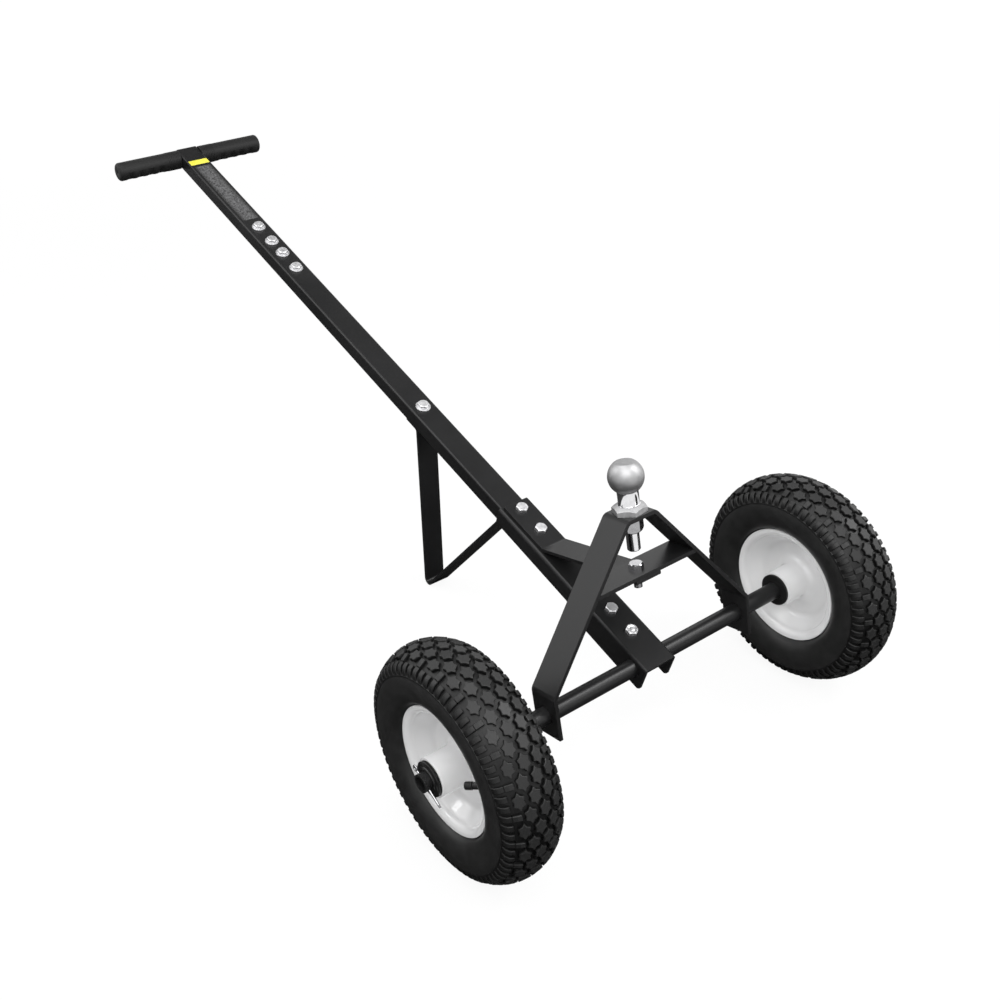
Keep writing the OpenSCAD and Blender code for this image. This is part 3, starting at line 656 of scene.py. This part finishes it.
# %% [markdown]
# ## Rims
# A barrow rim is pressed from sheet and welded to a long hub tube: a curled flange, a bead seat,
# a step down to the well, a deep open bowl and a disc that flows into the hub through a large
# fillet. So one chain of points, walked along the outside and back along the bowl, is spun into
# the whole rim. The fillets get many points, since a glossy bowl shows every facet.

# %% Draw the rim's section
CURL = (25, 90)  # centre of the flange's curl
outside = [(34.6, 92.8), (34, 93.0), (32.6, 93.0), (32, 92.6)]  # rolled lip
outside += arc(CURL, 7, 0, -90, 8) + [(19.6, 83), (19.0, 82.8)]  # flange and seat
outside += [(18.4, 82.2), (15.6, 75.8), (15.0, 75.2), (14.2, 75)]  # step and well
bowl = arc(CURL, 10, 0, -84, 10)
bowl += [(24, 79.7), (20, 77.0), (16, 74.2), (12, 71.5)]  # slope of the bowl
bowl += arc((18.5, 56.6), 16, 124, 180, 14)  # round to the disc
bowl += arc((16, 42), 14, 180, 270, 14)  # fillet to the hub
bowl += [(51.3, 28), (52.1, 27.7), (52.5, 27.0), (52.5, 20.3)]  # hub and its end
top = [(35.0, 92.4)]
loop = outside + mirror(outside)[::-1] + mirror(top) + mirror(bowl) + bowl[::-1] + top
rim = turned("right_rim_dressed", loop + loop[:1], 128)
smooth(rim, 32)
print("rim section", len(loop), "points,", len(rim.data.polygons), "faces")

# %% [markdown]
# ## Tyres
# Each tyre is a 13-inch pneumatic. Its carcass is one spun section: the tread floor, a shoulder,
# a bulged sidewall with one thin raised ring, and the bead that sits in the rim's curl. The tread
# is set on it block by block, because a displaced surface would give the blocks soft and
# wandering edges.

# %% Draw the tyre's section
WALL_C, WALL_H, WALL_X, BULGE = 123.42, 29.42, 48.5, 18  # the sidewall's bulge
CASING = 6  # thickness of the casing


def sidewall(depth, angles):
    """Points on the bulged sidewall, a given depth inside its skin."""
    turns = [radians(a) for a in angles]
    return [(WALL_X - depth - BULGE * (1 - cos(a)), WALL_C + WALL_H * sin(a)) for a in turns]


def crown(radius, angles):
    """Points on the crown's arc, with angles from the wheel's plane."""
    turns = [radians(a) for a in angles]
    return [(radius * sin(a), CROWN_C + radius * cos(a)) for a in turns]


upper = sidewall(0, (70, 63, 56, 49, 42, 37, 34.2))
ring = [(x + 0.7, r + 0.3) for x, r in sidewall(0, (33.4, 31.6))]
lower = sidewall(0, (30.8, 27, 20, 13, 6, *range(0, -71, -7)))
bead = [(31.7, 93.3)] + arc(CURL, 6.7, 0, -90, 6) + [(20, 83.3)]
half = crown(FLOOR_R, range(3, 33, 3)) + upper + ring + lower + bead
half += [(20, 89)] + sidewall(CASING, range(-70, 71, 20))  # and back along the inside
half += crown(FLOOR_R - CASING, (24, 16, 8))
loop = half + [(0, CROWN_C + FLOOR_R - CASING)] + mirror(half)[::-1] + [(0, CROWN_C + FLOOR_R)]
carcass = turned("right_tyre_dressed", loop + loop[:1], 144)
print("tyre section", len(loop), "points,", len(carcass.data.polygons), "faces")

# %% [markdown]
# ## One star block
# The tread is six rows of six-pointed stars. One is shaped on the bench from a twelve-sided disc:
# every other corner is pulled in to make the notches, and the two points along the tyre are drawn
# out. It is extruded with a slight taper, as a mould needs, and its edges are bevelled. It stays
# at a few dozen faces because each tyre carries it 144 times.

# %% Shape one star block on the bench
BLOCK_H, ROOT, STAR_R = 5, 2, 10  # height, depth sunk in the carcass, disc radius
STAR_SHAPE = ((0, 0.65, 1), (30, 0.947, 1.04), (60, 0.58, 0.89), (90, 1, 1.28))


def on_spoke(p, angle):
    """True for the disc's own corners that lie this many degrees from the X axis."""
    spoke = degrees(atan2(abs(p.y), abs(p.x)))
    return abs(spoke - angle) < 3 and abs(p.xy.length - STAR_R * MM) < 0.1 * MM


let_go()
bpy.ops.mesh.primitive_circle_add(vertices=12, radius=STAR_R * MM, fill_type="NGON",
                                  location=(0, 0, 0))
star = named("star_block")
open_up(star)
for angle, wide, long in STAR_SHAPE:
    pick("VERT", lambda p: on_spoke(p, angle))
    bpy.ops.transform.resize(value=(wide, long, 1), center_override=(0, 0, 0))
bpy.ops.mesh.select_all(action="SELECT")
rise = (0, 0, (BLOCK_H + ROOT) * MM)
bpy.ops.mesh.extrude_region_move(TRANSFORM_OT_translate={"value": rise})
bpy.ops.transform.resize(value=(0.96, 0.96, 1), center_override=(0, 0, 0))
pick("EDGE", lambda p, d: p.z > 0.1 * MM)
bpy.ops.mesh.bevel(offset=0.6 * MM, segments=1)
close_up()
heal(star)
size = [round(v / MM, 1) for v in star.dimensions]
print("star block:", size, "mm,", len(star.data.polygons), "faces")

# %% [markdown]
# ## Rows of stars
# A star is copied for each row, tilted to its row on the crown, and repeated round the axle by a
# spin that copies. Half the rows are turned by half a star, so the points of one row lie in the
# notches of the next. An array modifier would need an empty to turn about, while a spin needs
# only an axis.

# %% Set the star blocks round the crown
PER_ROW, ROW_PITCH, CROWN_R = 24, 10.5, 62
TO_CROWN = Matrix.Translation((0, 0, CROWN_C * MM))


def round_the_axle(piece, count):
    """Repeats all of a piece round the X axis."""
    open_up(piece, "SELECT")
    sweep = 2 * pi * (count - 1) / count
    bpy.ops.mesh.spin(steps=count - 1, angle=sweep, center=(0, 0, 0), axis=(1, 0, 0), dupli=True)
    close_up()
    return piece


def half_turned(odd):
    """Turns every other row by half the step between two stars."""
    return turn(180 / PER_ROW * odd, "X")


rows = []
for row in range(6):
    tilt = asin((row - 2.5) * ROW_PITCH / CROWN_R)
    place = (half_turned(row % 2) @ TO_CROWN @ Matrix.Rotation(tilt, 4, "Y")
             @ Matrix.Translation((0, 0, (CROWN_R - BLOCK_H - ROOT) * MM)))
    rows.append(round_the_axle(seat(copied(star, "star_row"), place), PER_ROW))
bpy.data.objects.remove(star)
print(len(rows), "rows of", PER_ROW, "stars")

# %% [markdown]
# ## Shoulder lugs
# In each gap between two outer stars sits a lug that runs out over the shoulder into the ribs. It
# is a block with soft edges, tilted to the shoulder and repeated in step with the gaps.

# %% Set the lugs between the outer stars
LUG, LUG_TILT = (12, 8, BLOCK_H + ROOT), 31


def block(name, size, centre):
    """A box, with its size and its centre in millimetres."""
    let_go()
    bpy.ops.mesh.primitive_cube_add(size=1, location=[v * MM for v in centre])
    piece = named(name)
    piece.scale = [v * MM for v in size]
    bpy.ops.object.transform_apply()
    return piece


lugs = []
for side in (1, -1):
    lug = block("shoulder_lugs", LUG, (0, 0, CROWN_R - (BLOCK_H + ROOT) / 2))
    soften(lug, 0.7 * MM, steps=1)
    place = half_turned(0 if side > 0 else 1) @ TO_CROWN @ turn(side * LUG_TILT, "Y")
    lugs.append(round_the_axle(seat(lug, place), PER_ROW))
print(len(lugs), "rings of lugs")

# %% [markdown]
# ## Shoulder ribs
# Below the stars and lugs the tread runs out in upright ribs, down to the raised ring on the
# sidewall. A rib starts as a block: four cuts with bisect give it the slope of the shoulder, and
# a fifth takes off what would stick through the casing. Each side has seventy-two, three for each
# star.

# %% Shape the ribs and set them round both shoulders
RIB, RIB_MIDDLE = (16, 7.6, 20), (39, 0, 148)
RIB_LINE = ((45.9, 138.2), (45.2, 146.0), (42.2, 152.0), (36.6, 155.4), (34.6, 148.0))
RIB_BACK = ((33, 152), (42.5, 138))
ribs = []
for side in (1, -1):
    rib = block("shoulder_ribs", RIB, RIB_MIDDLE)
    open_up(rib)
    for (x, r), (x2, r2) in [*zip(RIB_LINE, RIB_LINE[1:]), RIB_BACK]:
        normal = Vector((r2 - r, 0, x - x2)).normalized()
        bpy.ops.mesh.select_all(action="SELECT")
        bpy.ops.mesh.bisect(plane_co=(x * MM, 0, r * MM), plane_no=normal, use_fill=True,
                            clear_outer=True)
    close_up()
    soften(heal(rib), 0.7 * MM, steps=1)
    heal(seat(rib, Matrix.Scale(side, 4, (1, 0, 0))))
    ribs.append(round_the_axle(rib, 3 * PER_ROW))
tyre = take(carcass)
for part in (*rows, *lugs, *ribs):
    part.select_set(True)
bpy.ops.object.join()
smooth(tyre, 32)
print("tyre:", len(tyre.data.polygons), "faces")

# %% [markdown]
# ## Both wheels
# The rim and the tyre are drawn once, for the right side. Each wheel gets its own copies, and the
# left ones are mirrored by a negative scale, so that the valve side faces out on both. A mirrored
# mesh is inside out, so its faces are turned back before it is shaded.

# %% Put both wheels on
SIDES = (("left", -1), ("right", 1))


def wheel_place(toward):
    """Carries a piece from the bench to the wheel on one side."""
    plane = AXLE + Vector((toward * WHEEL_X, 0, 0))
    return Matrix.Translation(plane) @ Matrix.Scale(toward, 4, (1, 0, 0))


for side, toward in SIDES:
    place = wheel_place(toward)
    body = side + "_wheel"
    this_rim = heal(seat(copied(rim, side + "_white_rim"), place))
    finished(smooth(this_rim, 32), body, "white_rim", rim_white, side + "_rim")
    this_tyre = heal(seat(copied(tyre, side + "_star_tyre"), place), merge=False)
    finished(smooth(this_tyre, 32), body, "tyre_rubber", tyre_rubber, side + "_tyre")
    print(side, "wheel on at", round(toward * WHEEL_X / MM, 1))
bpy.data.objects.remove(rim)
bpy.data.objects.remove(tyre)

# %% [markdown]
# ## Valves
# The valve comes through the well behind the flange and leans out of the bowl, a rubber stem with
# a ribbed plastic cap. Both are turned, and only the cap's grip ribs break the round: every other
# strip of faces is pressed inwards with an inset.

# %% Valve stem and cap
VALVE_LEAN, VALVE_TURN = 39, 15  # degrees out of the bowl, and round the wheel
VALVE_X, VALVE_R = 13, 75  # its foot, from the wheel's plane and from the axle
STEM = [(-8, 0), (-8, 5.4), (3, 5.4), (6, 5.0), (21.4, 4.8), (22, 4.4), (22, 0)]
CAP = [(22.1, 0), (22.1, 5.0), (22.5, 5.5), (31.2, 5.4), (32.5, 4.6), (33, 3.4), (33, 0)]


def on_groove(p, n):
    """True for every other strip of faces round the cap."""
    strip = int(round(degrees(atan2(p.y, p.z)) / 10 + 0.5))
    return 23 * MM < p.x < 31 * MM and strip % 2 == 0


def valve(side, toward):
    """Sets one wheel's valve stem and its cap."""
    foot = turn(-VALVE_TURN, "X") @ Matrix.Translation((VALVE_X * MM, -VALVE_R * MM, 0))
    line = foot @ turn(-90, "X") @ turn(VALVE_LEAN, "Y") @ turn(-90, "Y")
    place = wheel_place(toward) @ line
    body = side + "_wheel"
    stem = smooth(heal(seat(turned(side + "_rubber_valve", STEM, 32), place)))
    finished(stem, body, "valve_rubber", valve_rubber, side + "_valve_stem")
    cap = turned(side + "_valve_cap_dressed", CAP, 36)
    open_up(cap)
    pick("FACE", on_groove)
    bpy.ops.mesh.inset(thickness=0.15 * MM, depth=-0.35 * MM, use_individual=True)
    close_up()
    cap = smooth(heal(seat(cap, place)))
    finished(cap, body, "valve_rubber", valve_rubber, side + "_valve_cap")


print("valve helper ready")

# %% [markdown]
# ## End washers
# A washer outside each hub keeps the wheel from the split pin. It has a raised ring round the
# axle, so it is turned from its own section instead of being dressed from the flat one.

# %% Turn the end washers and put the valves in
WASHER = [(0, 13.25), (0, 24.6), (0.4, 25), (2.2, 25), (2.7, 24.6), (3, 24), (3, 18.4),
          (3.6, 17.6), (4.6, 17.2), (4.8, 16.8), (4.8, 14), (4.5, 13.25), (0, 13.25)]
for side, toward in SIDES:
    valve(side, toward)
    ring = turned(side + "_end_washer", WASHER, 72)
    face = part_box(side + "_outer_washer")
    start = face[0].x if toward > 0 else face[1].x
    place = Matrix.Translation((start, AXLE.y, AXLE.z)) @ Matrix.Scale(toward, 4, (1, 0, 0))
    ring = smooth(heal(seat(ring, place)))
    finished(ring, "frame", "black_washer", black_washer, side + "_outer_washer")
    print(side, "valve and end washer on")

# %% [markdown]
# ## The grip's body
# The grips are moulded rubber sleeves on the cross bar's ends, each with a band of fine ribs at
# its inner end and a domed end with a vent hole. All of that is round, so the body is turned. Its
# plain part gets a ring of points every few millimetres for the finger hollows.

# %% Turn one grip
GRIP_L, GRIP_R, RIBBED = 129, 17.9, 28
FINE_RIBS, RIB_STEP = 8, 3.5
RINGS = [RIBBED + 2.5 + i * 2.5 for i in range(36)]
line = [(0, 11.2), (0, 16.4), (0.4, 16.8)]
for rib in range(FINE_RIBS):
    start = 0.6 + rib * RIB_STEP
    line += [(start, 17.4), (start + 0.3, GRIP_R), (start + 1.9, GRIP_R)]
    line += [(start + 2.2, 17.4), (start + 3.1, 17.4)]
line += [(RIBBED + 1.2, 17.5)] + [(along, 17.5) for along in RINGS]
line += arc((GRIP_L - 6, 11.6), 6, 80, 0, 8)
line += [(GRIP_L, 8), (GRIP_L - 0.4, 3), (GRIP_L - 0.8, 2), (GRIP_L - 3, 2), (GRIP_L - 3, 0)]
grip = turned("grip", line, 64)
print("grip:", len(grip.data.polygons), "faces")

# %% [markdown]
# ## Finger hollows
# Four hollows are pressed into the lower front of each grip, where fingers close. On every ring
# three ever narrower fans of vertices are squeezed towards the axis, by a share that follows a
# cosine along the grip, so a hollow is deepest in its middle and runs out softly. Sculpting would
# do it too, but not twice the same.

# %% Press the hollows and push both grips on
FIRST, LAST, FINGER, PRESS = 33, 117, 21, 1.7  # where the hollows lie, and how deep
FANS = (44, 33, 22)  # half angles in degrees
GRIP_S = 1424  # the cross bar's place along the handle
fingers = Vector((0, -cos(radians(28)), -sin(radians(28))))


def in_fan(p, along, reach):
    """True for one ring's vertices within an angle of the fingers."""
    on_ring = abs(p.x - along * MM) < 0.3 * MM
    return on_ring and fingers.angle(Vector((0, p.y, p.z))) < radians(reach)


open_up(grip)
moved = 0
for along in RINGS:
    if FIRST < along < LAST:
        press = PRESS * (0.5 - 0.5 * cos(2 * pi * (along - FIRST) / FINGER)) ** 2
        if press > 0.05:
            share = 1 - press / GRIP_R
            for reach in FANS:
                moved += pick("VERT", lambda p: in_fan(p, along, reach))
                bpy.ops.transform.resize(value=(1, share, share),
                                         center_override=(along * MM, 0, 0))
close_up()
print("the hollows moved", moved, "vertices")
for side, toward in SIDES:
    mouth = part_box(side + "_grip")
    start = mouth[0].x if toward > 0 else mouth[1].x
    place = (HANDLE @ Matrix.Translation((start, GRIP_S * MM, 0))
             @ Matrix.Scale(toward, 4, (1, 0, 0)))
    this_grip = heal(seat(copied(grip, side + "_rubber_grip"), place))
    finished(smooth(this_grip, 38), "frame", "grip_rubber", grip_rubber, side + "_grip")
    print(side, "grip from", round(start / MM, 1))
bpy.data.objects.remove(grip)

# %% [markdown]
# ## Hitch ball
# The ball, neck, collar and shank are one forging, finished in three ways: the ball is satin,
# the collar is zinc grey and the neck and shank are bright. Separate pieces make that plain.
# The ball with its flat top, the neck and the shank are turned.

# %% Turn the ball, the neck and the shank
FRAME_TOP, BALL_RISE, BALL_R, FLAT_R = 234.5, 51.5, 25.4, 13.5
on_frame = A_FRAME @ Matrix.Translation((0, 0, FRAME_TOP * MM))
upright = turn(-90, "Y")
bottom = BALL_RISE - 21
flat = BALL_RISE + sqrt(BALL_R ** 2 - FLAT_R ** 2)
turns = [radians(a) for a in range(34, 146, 4)]
ball_line = [(flat, 0), (flat, 13.0), (flat - 0.3, 13.9)]
ball_line += [(BALL_RISE + BALL_R * cos(a), BALL_R * sin(a)) for a in turns]
ball_line += [(bottom, 14.3), (bottom, 0)]
ball = turned("satin_ball", ball_line, 96)
neck = turned("bright_stud", [
    (32, 0), (32, 15), (12.6, 15), (11.6, 15.6), (11.2, 17), (11.2, 0)], 96)
shank = turned("bright_shank", [(0, 0), (0, 9.5), (-56.4, 9.5), (-58, 8), (-58, 0)], 64)
for piece, material in ((ball, satin_ball), (neck, chrome), (shank, chrome)):
    seat(piece, on_frame @ upright)
    finished(smooth(heal(piece)), "frame", "ball_steel", material, "hitch_ball")
    print(piece.name, len(piece.data.polygons), "faces")

# %% [markdown]
# ## The collar
# The collar under the ball is a six-sided block for a wrench, and a lathe cuts its upper corners
# back. Bevelling would leave straight facets, while the real cut leaves a curved line on each
# flat. So a six-sided prism and a cone are intersected, as the lathe does it.

# %% Cut the collar
COLLAR_HALF, COLLAR_H, COLLAR_TURN = 22, 11.5, 38  # half across flats, height, degrees
CONE_FOOT, CONE_TOP, CONE_H, CONE_Z = 46.2, 17, 17.5, 2.75
let_go()
bpy.ops.mesh.primitive_cylinder_add(
    vertices=6, radius=COLLAR_HALF / cos(pi / 6) * MM, depth=COLLAR_H * MM,
    location=(0, 0, COLLAR_H / 2 * MM), rotation=(0, 0, radians(COLLAR_TURN)))
collar = named("hex_collar")
bpy.ops.object.transform_apply()
let_go()
bpy.ops.mesh.primitive_cone_add(vertices=96, radius1=CONE_FOOT * MM, radius2=CONE_TOP * MM,
                                depth=CONE_H * MM, location=(0, 0, CONE_Z * MM))
cone = named("lathe_cone")
take(collar)
cut = collar.modifiers.new("turned_corners", "BOOLEAN")
cut.operation, cut.solver, cut.object = "INTERSECT", "EXACT", cone
bpy.ops.object.modifier_apply(modifier=cut.name)
bpy.data.objects.remove(cone)
soften(collar, 0.5 * MM, 25)
seat(collar, on_frame)
finished(collar, "frame", "ball_steel", collar_zinc, "hitch_ball")
print(collar.name, len(collar.data.polygons), "faces")

# %% [markdown]
# ## Film on the handle
# The handle carries a yellow strip under the T-bar and a long grey panel below it, both bare
# here. Each is a thin film with rounded corners on the tube's top face. A painted mask in the
# tube's own finish would lie as flat, but a film has an edge that catches the light.

# %% A helper that lays a film on the handle
TUBE_TOP, FILM, CORNER = 14, 0.15, 1.2  # the tube's top face, the film and its corners


def film(name, s, length, width, lift, material):
    """A thin film on the handle's top face, centred at a place along the tube."""
    let_go()
    bpy.ops.mesh.primitive_plane_add(size=1, location=(0, 0, 0))
    piece = named(name)
    piece.scale = (width * MM, length * MM, 1)
    bpy.ops.object.transform_apply()
    open_up(piece, "SELECT")
    bpy.ops.mesh.extrude_region_move(TRANSFORM_OT_translate={"value": (0, 0, FILM * MM)})
    pick("EDGE", lambda p, d: abs(d.z) > 0.1 * MM)
    bpy.ops.mesh.bevel(offset=CORNER * MM, segments=3)
    close_up()
    heal(piece)
    seat(piece, HANDLE @ Matrix.Translation((0, s * MM, (TUBE_TOP + lift) * MM)))
    return finished(smooth(piece), "frame", "black_powder_coat", material)


print("film helper ready")

# %% [markdown]
# ## Vinyl and the mottled panel
# The strip is plain yellow vinyl with a faint grain. The panel is a coarse mottle of greys
# that frays towards its long edges, so its mask is the distance from the handle's middle,
# roughened by the same mottle.

# %% Stick the films on the handle
finish = Finish("yellow_vinyl", (0.80, 0.76, 0.05), 0.4)
grain = finish.speckle(700, 3)
cloud = finish.speckle(60, 3)
colour = finish.ramp(cloud, (0.35, (0.76, 0.70, 0.05)), (0.65, (0.84, 0.80, 0.10)))
finish.give("Base Color", colour)
finish.give("Roughness", 0.34 + grain * 0.12)
finish.relief(grain, 0.04, 0.3)
strip = film("yellow_strip", 1381.7, 15.5, 39, 0.15, finish.material)

finish = Finish("grey_panel", grey(0.07), 0.5)
mottle = finish.speckle(260, 4, 0.75)
fine = finish.speckle(1100, 3, 0.7)
edge = (finish.coordinate("X").size() - 0.0128) * 160 + (mottle - 0.5) * 7
both = mottle * 0.7 + fine * 0.3
greys = finish.ramp(both, (0.43, grey(0.012)), (0.58, grey(0.15, 0.003)))
finish.give("Base Color", finish.mix(edge.above(0.25), greys, (*grey(0.010), 1)))
finish.give("Roughness", 0.42 + fine * 0.15)
finish.relief(fine, 0.10, 0.5)
panel = film("grey_panel", 1267.5, 198, 33, 0.02, finish.material)
print(strip.name, panel.name, "on the handle")

# %% [markdown]
# ## Floor
# The tool stands on a white floor that runs out of sight. A matt floor alone goes grey far
# from the lamps, and a glowing one would light the tool from below. So the floor mixes the two
# by a share that only the camera and mirrors see: it keeps the tool's shadow near the wheels,
# and the share rises with distance until floor and sky meet in the same white.

# %% Lay the floor
def seen_directly(wiring):
    """One where the eye, a mirror or glass sees the surface, and zero for its light."""
    total = wiring.node("LightPath", out="Is Camera Ray")
    for ray in ("Is Glossy Ray", "Is Transmission Ray"):
        other = wiring.node("LightPath", out=ray)
        total = wiring.node("Math", {"operation": "ADD", "use_clamp": True}, {0: total, 1: other})
    return total


let_go()
bpy.ops.mesh.primitive_plane_add(size=40, location=(0, 0, -0.0005))
floor = named("studio_floor")
sweep = Finish("studio_floor", grey(0.8), 1)
matt = sweep.node("BsdfDiffuse", {}, {"Color": (*grey(0.8), 1)})
glow = sweep.node("Emission", {}, {"Color": (*grey(1), 1), "Strength": 1.03})
away = sweep.node("VectorMath", {"operation": "LENGTH"}, {0: sweep.place}, out="Value")
fade = sweep.node("MapRange", {}, {"Value": away, "From Min": 1.4, "From Max": 4.0,
                                   "To Min": 0.89, "To Max": 1.0})
share = seen_directly(sweep) * fade
blend = sweep.node("MixShader", {}, {"Fac": share, 1: matt, 2: glow})
sweep.put(sweep.tree.nodes["Material Output"].inputs["Surface"], blend)
floor.data.materials.append(sweep.material)
print("floor laid")

# %% [markdown]
# ## Sky
# The world is plain white. The camera and mirrors see it at full strength, and as a light it
# gives less than a third of that, so that the lamps still shape the tool.

# %% Light the sky
world = bpy.data.worlds.new("studio")
bpy.context.scene.world = world
world.use_nodes = True
sky = Wiring(world.node_tree)
plain = sky.tree.nodes["Background"]
sky.put(plain.inputs["Color"], (*grey(1), 1))
level = sky.node("MapRange", {}, {"Value": seen_directly(sky), "To Min": 0.3, "To Max": 1.0})
sky.put(plain.inputs["Strength"], level)
print("sky set")

# %% [markdown]
# ## Lamps
# Black steel shows only what it mirrors, so the lamps are large soft boxes, each with its own
# job. The top box lights what faces up, the left and front boxes the two sides that are seen, and
# the two back boxes lift the edges. The axle box draws the long gleam on the axle, the edge box
# the one on the handle's left corner, and the wheel box opens up the left wheel's bowl and the
# ball.

# %% Hang the lamps
WHOLE, AXLE_END = (0, -0.3, 0.2), (0, -0.6, 0.2)
LAMPS = {  # place, what it is aimed at, side in metres, power in watts
    "top_box": ((-0.36, 0.33, 3.11), WHOLE, 1.8, 28),
    "left_box": ((-1.79, -1.02, 2.5), WHOLE, 1.8, 18),
    "front_box": ((1.92, -2.22, 1.47), WHOLE, 1.8, 34),
    "back_left_box": ((-1.92, 1.62, 1.47), WHOLE, 1.8, 14),
    "back_right_box": ((1.92, 1.62, 1.47), WHOLE, 1.8, 9),
    "axle_box": ((1.57, -1.55, 2.68), AXLE_END, 0.9, 32),
    "edge_box": ((-1.84, 1.17, 2.03), (0, 0.2, 0.4), 0.6, 7.5),
    "wheel_box": ((-0.6, -1.6, 1.8), (0.4, -0.6, 0.2), 1.3, 16),
}
for name, (place, target, size, power) in LAMPS.items():
    let_go()
    bpy.ops.object.light_add(type="AREA", location=place)
    lamp = bpy.context.object
    lamp.name = name
    lamp.data.shape = "SQUARE"
    lamp.data.size = size
    lamp.data.energy = power
    lamp.rotation_euler = (Vector(target) - Vector(place)).to_track_quat("-Z", "Y").to_euler()
    print(name, power, "W")

# %% [markdown]
# ## Dark cards
# In an all-white studio polished metal turns white and black paint turns grey, so black cards
# stand just out of view. The upright ones draw dark bands on the chrome, and the high ones and
# the mats on the floor keep the black coat deep. They throw no shadow and show in nothing but
# reflections.

# %% Set the dark cards round the tool
CARDS = {  # place, width and height in metres, which way it faces
    "right_card": ((1.86, -2.35, 1.2), 1.2, 2.4, (-0.62, 0.78, 0)),
    "left_card": ((-2.79, 1.11, 1.2), 1.2, 2.4, (0.93, -0.37, 0)),
    "dark_mat": ((-0.1, -0.1, 0.003), 2.8, 3.0, (0, 0, 1)),
    "far_mat": ((-0.6, 2.2, 0.003), 1.6, 1.6, (0, 0, 1)),
    "high_card": ((1.25, 1.8, 2.6), 2.2, 2.4, (-0.45, -0.4, -0.79)),
    "near_card": ((1.62, -0.15, 2.5), 1.2, 1.2, (-0.55, -0.1, -0.83)),
    "back_card": ((1.9, 2.4, 0.5), 3.0, 1.0, (-0.6, -0.8, 0)),
}
for name, (place, wide, high, flat_on) in CARDS.items():
    let_go()
    bpy.ops.mesh.primitive_plane_add(size=1, location=place)
    card = named(name)
    card.scale = (wide, high, 1)
    card.rotation_euler = Vector(flat_on).to_track_quat("Z", "Y").to_euler()
    card.data.materials.append(Finish(name, grey(0.01), 1).material)
    for ray in ("camera", "diffuse", "shadow", "transmission"):
        setattr(card, "visible_" + ray, False)
    print(name, "at", place)
